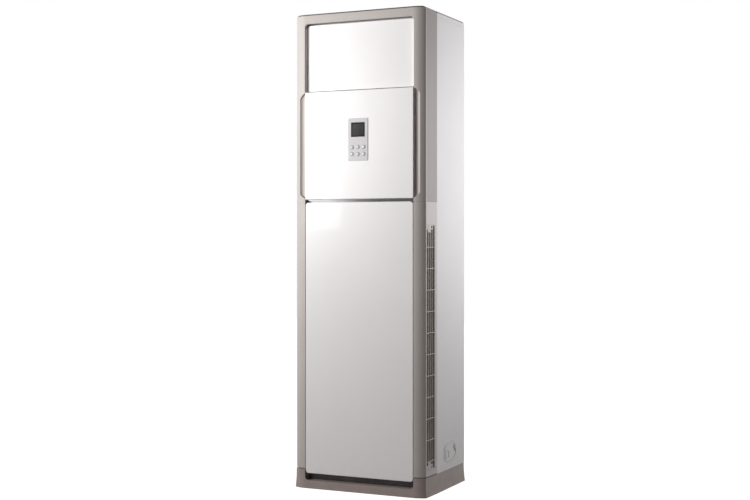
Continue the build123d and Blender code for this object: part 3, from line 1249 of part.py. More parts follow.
# ---- everything ------------------------------------------------------------------------------
def build():
    parts = {
        "base_plinth": base_plinth(),
        "base_pan": base_pan(),
        "rear_panel": rear_panel(),
        "left_side_panel": mirrored(side_panel()),
        "right_side_panel": right_side_panel(),
        "pipe_knockout": pipe_knockout(),
        "top_cover": top_cover(),
        "upper_front_frame": upper_front_frame(),
        "lower_front_frame": lower_front_frame(),
        "lower_front_panel": lower_front_panel(),
        "middle_panel": middle_panel(),
        "outlet_door": outlet_door(),
        "door_guides": door_guides(),
        "door_pinion": door_pinion(),
        "door_motor": door_motor(),
        "control_bezel": control_bezel(),
        "display_window": display_window(),
        "control_board": control_board(),
        "inlet_grille_right": inlet_grille(),
        "inlet_grille_left": mirrored(inlet_grille()),
        "filter_right": filter_screen(),
        "filter_left": mirrored(filter_screen()),
        "screws": screws(),
        "outlet_duct": outlet_duct(),
        "louver_link": louver_link(),
        "vane_link": vane_link(),
        "swing_motors": group([louver_motor(), vane_motor()]),
        "partition_deck": partition_deck(),
        "coil_front_plate": coil_front_plate(),
        "evaporator_coil": evaporator_coil(),
        "refrigerant_pipes": refrigerant_pipes(),
        "drain_pan": drain_pan(),
        "drain_hose": drain_hose(),
        "volute_casing": volute_casing(),
        "inlet_ring": inlet_ring(),
        "fan_wheel": fan_wheel(),
        "motor_shaft": motor_shaft(),
        "fan_motor": fan_motor(),
        "motor_bushes": motor_bushes(),
        "electrical_box": electrical_box(),
        "electrical_cover": electrical_cover(),
        "main_board": main_board(),
        "run_capacitor": run_capacitor(),
    }
    for k, (x, z) in enumerate(BUTTON_PLACES, start=1):
        parts[f"button_{k}"] = button(x, z)
    for k, z in enumerate(louver_heights()):
        parts[f"louver_{k + 1}"] = louver(z, driven=k == MASTER_LOUVER)
    for k, x in enumerate(vane_places()):
        parts[f"vane_{k + 1}"] = vane(x, driven=k == MASTER_VANE)
    return parts


for name, part in build().items():
    save(part, name)
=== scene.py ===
# %% [markdown]
# # A floor standing air conditioner, dressed in Blender
#
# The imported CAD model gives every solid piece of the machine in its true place, in metres:
# white gloss panels, a satin frame, a painted steel cabinet and a flared foot. This notebook
# adds what CAD doesn't draw. It gives each piece the finish it has on the real object, and
# models the small things that catch the eye, such as domed buttons and screw heads.

# %% Load the frame
import json
import math

import bmesh
import bpy
import numpy as np
from mathutils import Matrix, Vector


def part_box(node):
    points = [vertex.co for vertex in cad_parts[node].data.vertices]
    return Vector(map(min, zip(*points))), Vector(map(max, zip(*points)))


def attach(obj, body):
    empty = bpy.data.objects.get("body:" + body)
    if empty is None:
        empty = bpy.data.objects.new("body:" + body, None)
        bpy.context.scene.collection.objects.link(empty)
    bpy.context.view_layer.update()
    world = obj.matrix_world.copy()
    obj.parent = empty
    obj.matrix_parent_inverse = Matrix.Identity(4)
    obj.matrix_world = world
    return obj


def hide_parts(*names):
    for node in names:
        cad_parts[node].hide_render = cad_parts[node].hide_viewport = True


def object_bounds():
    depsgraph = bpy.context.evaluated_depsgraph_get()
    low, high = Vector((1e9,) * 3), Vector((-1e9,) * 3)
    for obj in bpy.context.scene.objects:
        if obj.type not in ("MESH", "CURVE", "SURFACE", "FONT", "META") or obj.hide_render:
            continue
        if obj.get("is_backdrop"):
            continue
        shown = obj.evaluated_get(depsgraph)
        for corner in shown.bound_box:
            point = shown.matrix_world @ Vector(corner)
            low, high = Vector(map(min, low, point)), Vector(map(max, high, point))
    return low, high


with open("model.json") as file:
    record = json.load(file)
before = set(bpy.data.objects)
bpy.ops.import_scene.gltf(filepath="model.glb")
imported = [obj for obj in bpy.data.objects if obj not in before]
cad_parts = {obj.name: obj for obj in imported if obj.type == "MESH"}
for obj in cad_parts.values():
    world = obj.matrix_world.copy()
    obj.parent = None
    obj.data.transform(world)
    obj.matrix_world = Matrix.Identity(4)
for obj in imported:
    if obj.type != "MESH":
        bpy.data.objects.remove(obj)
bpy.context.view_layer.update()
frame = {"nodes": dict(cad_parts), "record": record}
nodes = frame["nodes"]

# %% [markdown]
# ## The camera
#
# The upright edges of the photograph stay parallel, so its camera was held level and the
# picture was framed by shifting, as an architect's camera does. Blender's `shift_x` and
# `shift_y` do the same. The camera stands five metres away, turned 25 degrees towards the
# machine's right side, so that most of what it sees is the front.

# %% Place the camera
VIEW_TURN = math.radians(24.90)
VIEW_DISTANCE = 5.0462
VIEW_HEIGHT = 0.9675
LENS = 61.718
SENSOR_WIDTH = 36.0
SHIFT = (-0.00737, -0.0173)

camera_data = bpy.data.cameras.new("photo_camera")
camera_data.lens = LENS
camera_data.sensor_width = SENSOR_WIDTH
camera_data.shift_x, camera_data.shift_y = SHIFT
camera = bpy.data.objects.new("photo_camera", camera_data)
bpy.context.scene.collection.objects.link(camera)
camera.location = (
    VIEW_DISTANCE * math.sin(VIEW_TURN),
    -VIEW_DISTANCE * math.cos(VIEW_TURN),
    VIEW_HEIGHT,
)
camera.rotation_euler = (math.radians(90), 0, VIEW_TURN)
bpy.context.scene.camera = camera
print("camera at", [round(place, 3) for place in camera.location])

# %% [markdown]
# ## The studio
#
# Product pictures of white goods are lit with large soft boxes: big areas give broad, gentle
# reflections on gloss plastic. One box stands at the front left. It is aimed over the top of
# the machine, so the front fades from bright at the upper left to grey at the lower right.
# A small one at the right, a little behind the machine, lights the steel side only. The
# curved front corner mirrors the gap between them and reads dark, which draws its shape.

# %% Lamps
def soft_box(name, place, target, width, height, power, spread_angle):
    """A rectangular lamp that faces a point; a smaller spread fades its light to the sides."""
    data = bpy.data.lights.new(name, "AREA")
    data.shape = "RECTANGLE"
    data.size, data.size_y = width, height
    data.energy = power
    data.spread = math.radians(spread_angle)
    lamp = bpy.data.objects.new(name, data)
    bpy.context.scene.collection.objects.link(lamp)
    lamp.location = place
    lamp.rotation_mode = "QUATERNION"
    lamp.rotation_quaternion = (Vector(target) - Vector(place)).to_track_quat("-Z", "Y")


soft_box(
    "front_left_box",
    place=(-1.61, -1.74, 1.6),
    target=(0, 0, 2.1),
    width=1.36,
    height=1.2,
    power=57,
    spread_angle=160,
)
soft_box(
    "right_side_box",
    place=(1.35, 0.7, 1.3),
    target=(0.27, 0.05, 1.3),
    width=0.6,
    height=1.0,
    power=10.6,
    spread_angle=135,
)
print("two soft boxes")

# %% [markdown]
# ## The floor and the backdrop
#
# The background of the photograph is pure white. More light would wash the machine out, so
# the white is made with the *Light Path* node instead: what the camera sees directly is a
# plain white of strength 1, and so is what gloss and glass mirror, while the light that falls
# on the machine from all round is a calm warm grey. The floor adds light of its own for the
# same rays, and keeps the shadow that the machine casts.

# %% World and floor
SURROUND_GREY = (0.05, 0.034, 0.03, 1)
WHITE = (1, 1, 1, 1)
FLOOR_REACH = 9.0
FLOOR_COLOUR = (0.3, 0.29, 0.28, 1)
FLOOR_ROUGHNESS = 0.7
FLOOR_LIFT = 0.95  # what the floor adds for the camera, just short of white


def connect(tree, source, output, target, socket):
    tree.links.new(source.outputs[output], target.inputs[socket])


def any_clear_ray(tree):
    """A node that is 1 for what the camera, a mirror or a window sees."""
    path = tree.nodes.new("ShaderNodeLightPath")
    total = path
    output = "Is Camera Ray"
    for other in ("Is Glossy Ray", "Is Transmission Ray"):
        larger = tree.nodes.new("ShaderNodeMath")
        larger.operation = "MAXIMUM"
        connect(tree, total, output, larger, 0)
        connect(tree, path, other, larger, 1)
        total, output = larger, "Value"
    return total


def white_for_camera(tree, target, socket, calm):
    """White where the camera, a mirror or a window looks; a calm colour for all other light."""
    mix = tree.nodes.new("ShaderNodeMix")
    mix.data_type = "RGBA"
    mix.inputs["A"].default_value = calm
    mix.inputs["B"].default_value = WHITE
    connect(tree, any_clear_ray(tree), "Value", mix, "Factor")
    connect(tree, mix, "Result", target, socket)


world = bpy.data.worlds.new("studio_surround")
bpy.context.scene.world = world
world.use_nodes = True
background = world.node_tree.nodes["Background"]
background.inputs["Strength"].default_value = 1.0
white_for_camera(world.node_tree, background, "Color", SURROUND_GREY)

floor_mesh = bpy.data.meshes.new("studio_floor")
signs = ((-1, -1), (1, -1), (1, 1), (-1, 1))
corners = [(x * FLOOR_REACH, y * FLOOR_REACH, 0) for x, y in signs]
floor_mesh.from_pydata(corners, [], [(0, 1, 2, 3)])
floor = bpy.data.objects.new("studio_floor", floor_mesh)
bpy.context.scene.collection.objects.link(floor)
floor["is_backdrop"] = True

floor_paint = bpy.data.materials.new("studio_floor_paint")
floor_paint.use_nodes = True
floor_tree = floor_paint.node_tree
floor_shader = floor_tree.nodes["Principled BSDF"]
floor_shader.inputs["Base Color"].default_value = FLOOR_COLOUR
floor_shader.inputs["Roughness"].default_value = FLOOR_ROUGHNESS
lift_amount = floor_tree.nodes.new("ShaderNodeMath")
lift_amount.operation = "MULTIPLY"
lift_amount.inputs[1].default_value = FLOOR_LIFT
connect(floor_tree, any_clear_ray(floor_tree), "Value", lift_amount, 0)
floor_shader.inputs["Emission Color"].default_value = WHITE
connect(floor_tree, lift_amount, "Value", floor_shader, "Emission Strength")
floor_mesh.materials.append(floor_paint)
print("white backdrop and floor")

# %% [markdown]
# ## Reading the frame's own measures
#
# Extra pieces take their places from the CAD nodes, never from typed-in places. Two small helpers
# give the middle of a node and link a finished mesh to the scene. Each extra piece names the body
# it rides on, the finish it takes, and the CAD nodes that it stands for.

# %% Helpers for pieces
finishes = {}


def middle(node):
    low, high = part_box(node)
    return (low + high) / 2


def piece(name, mesh, body, finish, stands_for=()):
    """Links a mesh as a piece of the machine, riding on a body and wearing a finish."""
    made = bpy.data.objects.new(name, mesh)
    bpy.context.scene.collection.objects.link(made)
    mesh.materials.clear()
    mesh.materials.append(finishes[finish])
    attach(made, body)
    if stands_for:
        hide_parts(*stands_for)


# %% [markdown]
# ## How the finishes are made
#
# A moulded or painted surface is never one flat colour. It drifts a little over a hand's
# width, its gloss drifts too, and close up it has a grain. One helper builds these three
# layers from noise in the piece's own coordinates, so the pattern stays on a moving part.
# Values that are the same all over sit on the shader's own sockets.

# %% The parts of a layered finish
COAT_ROUGHNESS = 0.05
COLOUR_DRIFT_SCALE = 4.0  # waves of colour in a metre
GLOSS_DRIFT_SCALE = 11.0
TEXTURE_MIDDLE = (0.35, 0.65)  # the range that noise mostly stays in


def connect_place(tree, target):
    """Gives a node the place on the piece, in the piece's own metres."""
    place = tree.nodes.new("ShaderNodeTexCoord")
    connect(tree, place, "Object", target, "Vector")


def start_finish(name, metallic=0.0, coat=0.0, specular=0.5):
    """A new material with its constant values on the shader."""
    material = bpy.data.materials.new(name)
    material.use_nodes = True
    shader = material.node_tree.nodes["Principled BSDF"]
    shader.inputs["Metallic"].default_value = metallic
    shader.inputs["Specular IOR Level"].default_value = specular
    shader.inputs["Coat Weight"].default_value = coat
    shader.inputs["Coat Roughness"].default_value = COAT_ROUGHNESS
    finishes[name] = material
    return material.node_tree, shader


def noise(tree, scale, detail=2.0):
    texture = tree.nodes.new("ShaderNodeTexNoise")
    texture.inputs["Scale"].default_value = scale
    texture.inputs["Detail"].default_value = detail
    connect_place(tree, texture)
    return texture


def ramp_between(tree, source, output, colours):
    """A ramp from one colour to another over the middle of a texture's range."""
    ramp = tree.nodes.new("ShaderNodeValToRGB")
    for element, position, colour in zip(ramp.color_ramp.elements, TEXTURE_MIDDLE, colours):
        element.position = position
        element.color = (*colour, 1)
    connect(tree, source, output, ramp, "Fac")
    return ramp


def spread(tree, source, output, low, high, start=0.3, stop=0.7):
    """Maps the range from start to stop to the range from low to high."""
    mapped = tree.nodes.new("ShaderNodeMapRange")
    ends = {"From Min": start, "From Max": stop, "To Min": low, "To Max": high}
    for socket, value in ends.items():
        mapped.inputs[socket].default_value = value
    connect(tree, source, output, mapped, "Value")
    return mapped


def raise_grain(tree, shader, source, output, depth):
    """Bump of a real depth in metres, laid over any bump that is there already."""
    bump = tree.nodes.new("ShaderNodeBump")
    bump.inputs["Distance"].default_value = depth
    connect(tree, source, output, bump, "Height")
    before = shader.inputs["Normal"].links
    if before:
        tree.links.new(before[0].from_socket, bump.inputs["Normal"])
    connect(tree, bump, "Normal", shader, "Normal")


def layered(name, colour, drift, roughness, grain, depth=0.00002, **constants):
    """Colour drift, gloss drift and grain over constant values."""
    tree, shader = start_finish(name, **constants)
    shades = [tuple(part * (1 + step) for part in colour) for step in (-drift, drift)]
    ramp = ramp_between(tree, noise(tree, COLOUR_DRIFT_SCALE, detail=3.0), "Fac", shades)
    connect(tree, ramp, "Color", shader, "Base Color")
    gloss = spread(tree, noise(tree, GLOSS_DRIFT_SCALE), "Fac", *roughness)
    connect(tree, gloss, "Result", shader, "Roughness")
    raise_grain(tree, shader, noise(tree, grain, detail=1.0), "Fac", depth)
    return tree, shader


print("finish helpers ready")

# %% [markdown]
# ## Dust and wear
#
# A machine that stands on a floor collects dust low down, and it lies in patches. Height in
# the piece's own metres, broken up by noise, tells how much dust there is, and a mix lays
# its colour over the paint. Two amounts that each run from 0 to 1 are joined by multiplying
# them, and the same helper serves for every band and strip further on.

# %% Dust near the floor
DUST_REACH = 0.35
DUST_PATCH_SCALE = 35.0


def lay_over(tree, shader, amount, colour):
    """Mixes another colour over the base colour by an amount from a node."""
    mix = tree.nodes.new("ShaderNodeMix")
    mix.data_type = "RGBA"
    tree.links.new(shader.inputs["Base Color"].links[0].from_socket, mix.inputs["A"])
    mix.inputs["B"].default_value = (*colour, 1)
    tree.links.new(amount, mix.inputs["Factor"])
    connect(tree, mix, "Result", shader, "Base Color")


def split_place(tree):
    """The place on the piece as X, Y and Z."""
    split = tree.nodes.new("ShaderNodeSeparateXYZ")
    connect_place(tree, split)
    return split


def both_of(tree, one, other):
    """The product of two mapped amounts."""
    both = tree.nodes.new("ShaderNodeMath")
    both.operation = "MULTIPLY"
    connect(tree, one, "Result", both, 0)
    connect(tree, other, "Result", both, 1)
    return both.outputs["Value"]


def dust(tree, shader, colour, most):
    by_height = spread(tree, split_place(tree), "Z", most, 0.0, start=0.0, stop=DUST_REACH)
    patch_noise = noise(tree, DUST_PATCH_SCALE, detail=4.0)
    patches = spread(tree, patch_noise, "Fac", 0.2, 1.0, start=0.35)
    lay_over(tree, shader, both_of(tree, by_height, patches), colour)


print("dust reaches", DUST_REACH, "m up")

# %% [markdown]
# A thin dark line follows the machine's top edge, where the roof turns down over the sides. It is
# painted shade: the rounded edge there turns away from the lamps and reads dark, and this band
# stands in for it. It is a band of height just under a node's own top: it comes in from below, and
# is gone again on the flat of the roof.

# %% The painted shade under the roof
LINE_HEIGHT = 0.0065
LINE_SOFT_BELOW = LINE_HEIGHT / 2
LINE_END = (LINE_HEIGHT / 20, LINE_HEIGHT / 60)  # under the top, where it fades out


def painted_roof_shade(tree, shader, node, colour):
    """A painted band of shade under the top of a node; the flat top itself keeps its paint."""
    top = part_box(node)[1].z
    split = split_place(tree)
    foot = top - LINE_HEIGHT
    rise = spread(tree, split, "Z", 0.0, 1.0, start=foot, stop=foot + LINE_SOFT_BELOW)
    fall_from, fall_to = (top - below for below in LINE_END)
    fall = spread(tree, split, "Z", 1.0, 0.0, start=fall_from, stop=fall_to)
    lay_over(tree, shader, both_of(tree, rise, fall), colour)


print("the line is", LINE_HEIGHT, "m high")

# %% [markdown]
# ## The front: gloss white and satin champagne
#
# The three big panels are moulded in white and highly polished: a smooth base under a clear
# coat, with only the faint waviness that large mouldings keep. The frame round them is
# sprayed with a champagne satin paint, and fine flakes in it glitter: tiny cells whose
# brightness differs. The pad's plate and buttons have the same kind of paint in silver.

# %% Gloss white
tree, shader = layered(
    "gloss_white", (0.86, 0.845, 0.845), 0.006, (0.28, 0.34), grain=55, coat=0.15
)
dust(tree, shader, (0.55, 0.52, 0.5), 0.12)
print("gloss white under a clear coat")

# %% Paint with flakes
FLAKE_SIZE = 0.0006
FLAKE_COLOUR = (0.85, 0.83, 0.8)


def cells_of(tree, size):
    """Cells of a size in metres, each with its own grey in Red and another in Green."""
    cells = tree.nodes.new("ShaderNodeTexVoronoi")
    cells.inputs["Scale"].default_value = 1 / size
    connect_place(tree, cells)
    greys = tree.nodes.new("ShaderNodeSeparateColor")
    connect(tree, cells, "Color", greys, "Color")
    return greys


def flakes(tree, shader, amount):
    """Tiny cells of differing brightness, as metal flakes in a clear binder."""
    bright = spread(tree, cells_of(tree, FLAKE_SIZE), "Red", 0.0, amount, start=0.5, stop=1.0)
    lay_over(tree, shader, bright.outputs["Result"], FLAKE_COLOUR)


frame_tree, frame_shader = layered(
    "frame_plastic", (0.5, 0.462, 0.436), 0.025, (0.4, 0.48), grain=700, specular=0.25
)
flakes(frame_tree, frame_shader, 0.1)
dust(frame_tree, frame_shader, (0.42, 0.38, 0.35), 0.3)
tree, shader = layered(
    "silver_plastic", (0.42, 0.41, 0.415), 0.02, (0.3, 0.36), grain=900, metallic=0.1, specular=0.3
)
flakes(tree, shader, 0.12)
tree, shader = layered(
    "base_plastic",
    (0.32, 0.262, 0.246),
    0.04,
    (0.36, 0.46),
    grain=600,
    depth=0.00004,
    specular=0.25,
)
dust(tree, shader, (0.45, 0.4, 0.36), 0.35)
print("flakes of", FLAKE_SIZE, "m")

# %% [markdown]
# The frame wraps round the corner as a flat strip on each side. That strip carries painted shade
# and painted light: it is darker beside the upper frame, where less light falls, and pale beside
# the lower one, where more falls. Both are laid over the frame's paint where the distance from the
# middle passes the crease of the corner.

# %% Painted shade and light on the side strips
CREASE_X = 0.2716  # of the corner, from the machine's middle
TONE_EDGE = 0.0002  # over which one tone becomes the other
UPPER_PAINTED_SHADE = (0.36, 0.325, 0.33)
LOWER_PAINTED_LIGHT = (0.6, 0.565, 0.57)
split_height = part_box("lower_front_frame")[1].z + TONE_EDGE


def side_strip(tree, low, high):
    """1 on the side strips, times low under the split of the frames and high over it."""
    place = split_place(tree)
    side = tree.nodes.new("ShaderNodeMath")
    side.operation = "ABSOLUTE"
    connect(tree, place, "X", side, 0)
    out = spread(tree, side, "Value", 0.0, 1.0, start=CREASE_X, stop=CREASE_X + TONE_EDGE)
    split_end = split_height + TONE_EDGE
    level = spread(tree, place, "Z", low, high, start=split_height, stop=split_end)
    return both_of(tree, out, level)


# Painted shade on the strips beside the upper frame, painted light beside the lower frame.
lay_over(frame_tree, frame_shader, side_strip(frame_tree, 0.0, 1.0), UPPER_PAINTED_SHADE)
lay_over(frame_tree, frame_shader, side_strip(frame_tree, 1.0, 0.0), LOWER_PAINTED_LIGHT)
# Painted shade along the frame's top edge.
painted_roof_shade(frame_tree, frame_shader, "upper_front_frame", (0.06, 0.045, 0.045))
print("the strips change tone at", round(split_height, 4), "m")

# %% [markdown]
# ## The cabinet: powder coat and dark paint
#
# Powder coat melts on the sheet and sets with a fine orange peel, a gentle dimple every
# couple of millimetres. Smooth cells give that dimple better than noise does, because each
# one is round. The tray in the toe space is painted nearly black.

# %% Powder coat
DIMPLE_SIZE = 0.0022
DIMPLE_DEPTH = 0.00004


def dimples(tree, shader, size, depth):
    """Round dimples side by side."""
    cells = tree.nodes.new("ShaderNodeTexVoronoi")
    cells.feature = "SMOOTH_F1"
    cells.inputs["Scale"].default_value = 1 / size
    connect_place(tree, cells)
    raise_grain(tree, shader, cells, "Distance", depth)


tree, shader = layered(
    "cabinet_paint", (0.72, 0.71, 0.725), 0.01, (0.34, 0.42), grain=140, depth=0.00003
)
dimples(tree, shader, DIMPLE_SIZE, DIMPLE_DEPTH)
dust(tree, shader, (0.5, 0.46, 0.44), 0.3)
# Painted shade along the roof's turned edge.
painted_roof_shade(tree, shader, "top_cover", (0.08, 0.07, 0.075))
tree, shader = layered("dark_steel", (0.018, 0.013, 0.013), 0.2, (0.45, 0.6), grain=400)
dust(tree, shader, (0.16, 0.14, 0.13), 0.2)
print("cabinet finishes")

# %% [markdown]
# ## The inside
#
# Plain mouldings, bare galvanised sheet, copper and rubber are seen through the outlet when
# the door is down, and at the foot when the lower panel swings out. Galvanised steel shows
# its spangle: flat crystals a centimetre across, each catching the light by itself. The fin
# pack is hundreds of thin edges side by side, copper tarnishes in clouds, and the boards
# show the fine lines of their tracks.

# %% Spangle and fins
SPANGLE_SIZE = 0.012
SPANGLE_COLOUR = (0.78, 0.79, 0.8)
FIN_PITCH = 0.0016
FIN_DEPTH = 0.0006
FIN_SHADE = (0.04, 0.04, 0.045)


def spangle(tree, shader):
    """Crystals that differ in brightness and gloss."""
    greys = cells_of(tree, SPANGLE_SIZE)
    bright = spread(tree, greys, "Red", 0.0, 0.35, start=0.2, stop=1.0)
    lay_over(tree, shader, bright.outputs["Result"], SPANGLE_COLOUR)
    gloss = spread(tree, greys, "Green", 0.26, 0.5, start=0.0, stop=1.0)
    connect(tree, gloss, "Result", shader, "Roughness")


def fins(tree, shader):
    """Upright ridges one after the other along X, with shade between them."""
    wave = tree.nodes.new("ShaderNodeTexWave")
    wave.bands_direction = "X"
    wave.inputs["Scale"].default_value = math.pi / 10 / FIN_PITCH  # as this node counts waves
    connect_place(tree, wave)
    shade = spread(tree, wave, "Fac", 0.75, 0.0, start=0.0, stop=0.6)
    lay_over(tree, shader, shade.outputs["Result"], FIN_SHADE)
    raise_grain(tree, shader, wave, "Fac", FIN_DEPTH)


tree, shader = layered(
    "zinc_steel", (0.47, 0.48, 0.49), 0.05, (0.3, 0.45), grain=260, metallic=0.85
)
spangle(tree, shader)
tree, shader = layered("coil_fins", (0.66, 0.68, 0.69), 0.04, (0.3, 0.4), grain=500, metallic=0.85)
fins(tree, shader)
print("spangle", SPANGLE_SIZE, "m, fins every", FIN_PITCH, "m")

# %% Plain inner finishes
TARNISH_SCALE = 60.0
TRACK_SCALE = 60.0
TRACK_WIDTH = 0.06  # as a share of the brick pattern's own unit

layered("inner_plastic", (0.72, 0.715, 0.7), 0.02, (0.38, 0.48), grain=700)
layered("gear_plastic", (0.78, 0.76, 0.66), 0.03, (0.38, 0.46), grain=800)
layered("motor_steel", (0.42, 0.42, 0.43), 0.05, (0.3, 0.42), grain=600, metallic=0.8)
layered("screw_steel", (0.62, 0.61, 0.58), 0.06, (0.22, 0.34), grain=1300, metallic=1.0)
layered("hose_plastic", (0.64, 0.64, 0.62), 0.03, (0.4, 0.5), grain=450)
layered("rubber_black", (0.014, 0.013, 0.013), 0.1, (0.5, 0.65), grain=800)
layered("filter_mesh", (0.26, 0.19, 0.17), 0.12, (0.5, 0.6), grain=800)
layered(
    "display_glass",
    (0.01, 0.0105, 0.011),
    0.08,
    (0.1, 0.14),
    grain=250,
    depth=0.000004,
    specular=0.35,
)
tree, shader = layered("copper", (0.56, 0.26, 0.15), 0.12, (0.22, 0.38), grain=600, metallic=1.0)
clouds = noise(tree, TARNISH_SCALE, detail=5.0)
tarnish = spread(tree, clouds, "Fac", 0.0, 0.7, start=0.5, stop=0.75)
lay_over(tree, shader, tarnish.outputs["Result"], (0.16, 0.09, 0.07))
tree, shader = layered("board_green", (0.01, 0.085, 0.03), 0.12, (0.28, 0.36), grain=600)
tracks = tree.nodes.new("ShaderNodeTexBrick")
tracks.inputs["Scale"].default_value = TRACK_SCALE
tracks.inputs["Mortar Size"].default_value = TRACK_WIDTH
connect_place(tree, tracks)
lines = spread(tree, tracks, "Fac", 0.0, 0.6, start=0.0, stop=1.0)
lay_over(tree, shader, lines.outputs["Result"], (0.04, 0.2, 0.07))
print(len(finishes), "finishes")

# %% [markdown]
# ## Dressing the CAD nodes
#
# The record names a material slot for every node. The mesh stays as CAD made it, and only
# its material changes.

# %% Assign finishes
for part in frame["record"]["subparts"]:
    node = nodes[part["node"]]
    node.data.materials.clear()
    node.data.materials.append(finishes[part["material_slot"]])
print("dressed", len(nodes), "nodes")

# %% [markdown]
# ## Turning round pieces
#
# Buttons, screw heads and a ribbed hose are all round about one line, so one helper makes
# them: it draws half of the section as a chain of edges and spins it, as a lathe or a
# potter's wheel would. Spinning leaves doubled points on the line itself, which are merged.

# %% The lathe
SAME_POINT = 1e-6  # points nearer than this are one


def turned(profile, steps):
    """A mesh spun about Z from (radius, height) pairs."""
    lathe = bmesh.new()
    points = [lathe.verts.new((radius, 0, height)) for radius, height in profile]
    edges = [lathe.edges.new(pair) for pair in zip(points, points[1:])]
    bmesh.ops.spin(lathe, geom=points + edges, axis=(0, 0, 1), angle=math.tau, steps=steps)
    bmesh.ops.remove_doubles(lathe, verts=lathe.verts, dist=SAME_POINT)
    bmesh.ops.recalc_face_normals(lathe, faces=lathe.faces)
    return lathe


def set_on(shape, point, direction):
    """Moves a bmesh so that its Z points along a direction from a point."""
    turn = Vector(direction).to_track_quat("Z", "Y").to_matrix().to_4x4()
    shape.transform(Matrix.Translation(point) @ turn)


def to_mesh(shape, name, smooth=True):
    mesh = bpy.data.meshes.new(name)
    shape.to_mesh(mesh)
    shape.free()
    for face in mesh.polygons:
        face.use_smooth = smooth
    return mesh


print("lathe ready")

# %% [markdown]
# ## Six domed buttons
#
# CAD's buttons are flat discs, enough to press. The real ones are little domes that catch the
# light on one side and turn dark on the other. Each dome rides on its own button's body, so
# it still goes in when it is pressed, and it fills the same box.

# %% Buttons
BUTTON_COUNT = 6
BUTTON_FLANGE = 0.0014  # how far the flange behind the plate reaches out
STEM_RADIUS = 0.003
COLLAR_BACK = 0.0045  # from the top of the crown back to the flange
COLLAR_THICKNESS = 0.001
CROWN_STEP = 10  # degrees
BUTTON_STEPS = 48


def dome_profile(barrel, deep, seat):
    """Stem, flange, a straight barrel through the plate and a round crown in front."""
    flange = barrel + BUTTON_FLANGE
    collar = deep - COLLAR_BACK
    collar_foot = collar - COLLAR_THICKNESS
    stem = [(0, 0), (STEM_RADIUS, 0), (STEM_RADIUS, collar_foot)]
    rim = [(flange, collar_foot), (flange, collar), (barrel, collar)]
    angles = [math.radians(angle) for angle in range(0, 90, CROWN_STEP)]
    crown = [(barrel * math.cos(a), seat + (deep - seat) * math.sin(a)) for a in angles]
    return stem + rim + crown + [(0, deep)]


plate_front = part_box("control_bezel")[0].y
for number in range(1, BUTTON_COUNT + 1):
    node = f"button_{number}"
    low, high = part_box(node)
    barrel = (high.x - low.x) / 2 - BUTTON_FLANGE
    proud = plate_front - low.y
    dome = turned(dome_profile(barrel, high.y - low.y, high.y - plate_front), BUTTON_STEPS)
    set_on(dome, (middle(node).x, high.y, middle(node).z), (0, -1, 0))
    piece(f"button_dome_{number}", to_mesh(dome, node), node, "silver_plastic", [node])
print("buttons stand", round(proud * 1000, 2), "mm proud")

# %% [markdown]
# ## Screws with a cross in the head
#
# The grilles and the rear sheet are held by pan head screws. A pan head is another turned
# shape, but the cross isn't round, so a second shape is cut out of it: two crossed wedges and
# a Boolean modifier. One head is made, and copies of it go where the CAD model has its
# screws. The loose parts of that node give each screw's place, and its flattest direction
# gives the way it faces.

# %% One screw head
HEAD_R = 0.0036
HEAD_RISE = 0.0016
HEAD_WALL = 0.35  # the upright share of the rise
HEAD_ROUND = 0.6  # the rounded share; a shallow cone takes what is left
HEAD_STEPS = 32
CROSS_LENGTH = 0.0042
CROSS_WIDTH = 0.0009
CROSS_DEPTH = 0.0011
CROSS_TAPER = 0.45  # of its length, at its foot


def pan_head():
    """A rounded disc with a cross recess."""
    profile = [(0, 0), (HEAD_R, 0), (HEAD_R, HEAD_RISE * HEAD_WALL)]
    for angle in (math.radians(step) for step in range(15, 91, 15)):
        inwards = (1 - HEAD_WALL) * (1 - math.cos(angle))
        upwards = HEAD_WALL + HEAD_ROUND * math.sin(angle)
        profile.append((HEAD_R - HEAD_RISE * inwards, HEAD_RISE * upwards))
    profile.append((0, HEAD_RISE))
    head = bpy.data.objects.new("head", to_mesh(turned(profile, HEAD_STEPS), "head"))
    wedge = bmesh.new()
    for turn in (0, 90):
        arm = bmesh.ops.create_cube(wedge, size=1)["verts"]
        bmesh.ops.scale(wedge, vec=(CROSS_LENGTH, CROSS_WIDTH, 2 * CROSS_DEPTH), verts=arm)
        for corner in arm:
            if corner.co.z < 0:
                corner.co.x *= CROSS_TAPER
        bmesh.ops.rotate(wedge, matrix=Matrix.Rotation(math.radians(turn), 3, "Z"), verts=arm)
    bmesh.ops.translate(wedge, vec=(0, 0, HEAD_RISE), verts=wedge.verts)
    cutter = bpy.data.objects.new("cutter", to_mesh(wedge, "cutter", smooth=False))
    for thing in (head, cutter):
        bpy.context.scene.collection.objects.link(thing)
    cut = head.modifiers.new("cross", "BOOLEAN")
    cut.operation = "DIFFERENCE"
    cut.object = cutter
    cut.solver = "EXACT"
    cut.use_self = True
    evaluated = head.evaluated_get(bpy.context.evaluated_depsgraph_get())
    recessed = bpy.data.meshes.new_from_object(evaluated)
    for thing in (head, cutter):
        bpy.data.objects.remove(thing)
    return recessed


head_mesh = pan_head()
print("one screw head:", len(head_mesh.polygons), "faces")

# %% Every screw
SCREW_TURN = 37  # degrees from one to the next, as screws stop where they stop


def islands(node):
    """The points of each loose part of a node's mesh."""
    shape = bmesh.new()
    shape.from_mesh(nodes[node].data)
    bmesh.ops.remove_doubles(shape, verts=shape.verts, dist=SAME_POINT)
    left = set(shape.verts)
    parts = []
    for start in shape.verts:
        if start not in left:
            continue
        left.remove(start)
        found, edge_of = [start], [start]
        while edge_of:
            point = edge_of.pop()
            for edge in point.link_edges:
                other = edge.other_vert(point)
                if other in left:
                    left.remove(other)
                    found.append(other)
                    edge_of.append(other)
        parts.append(np.array([point.co for point in found]))
    shape.free()
    return parts


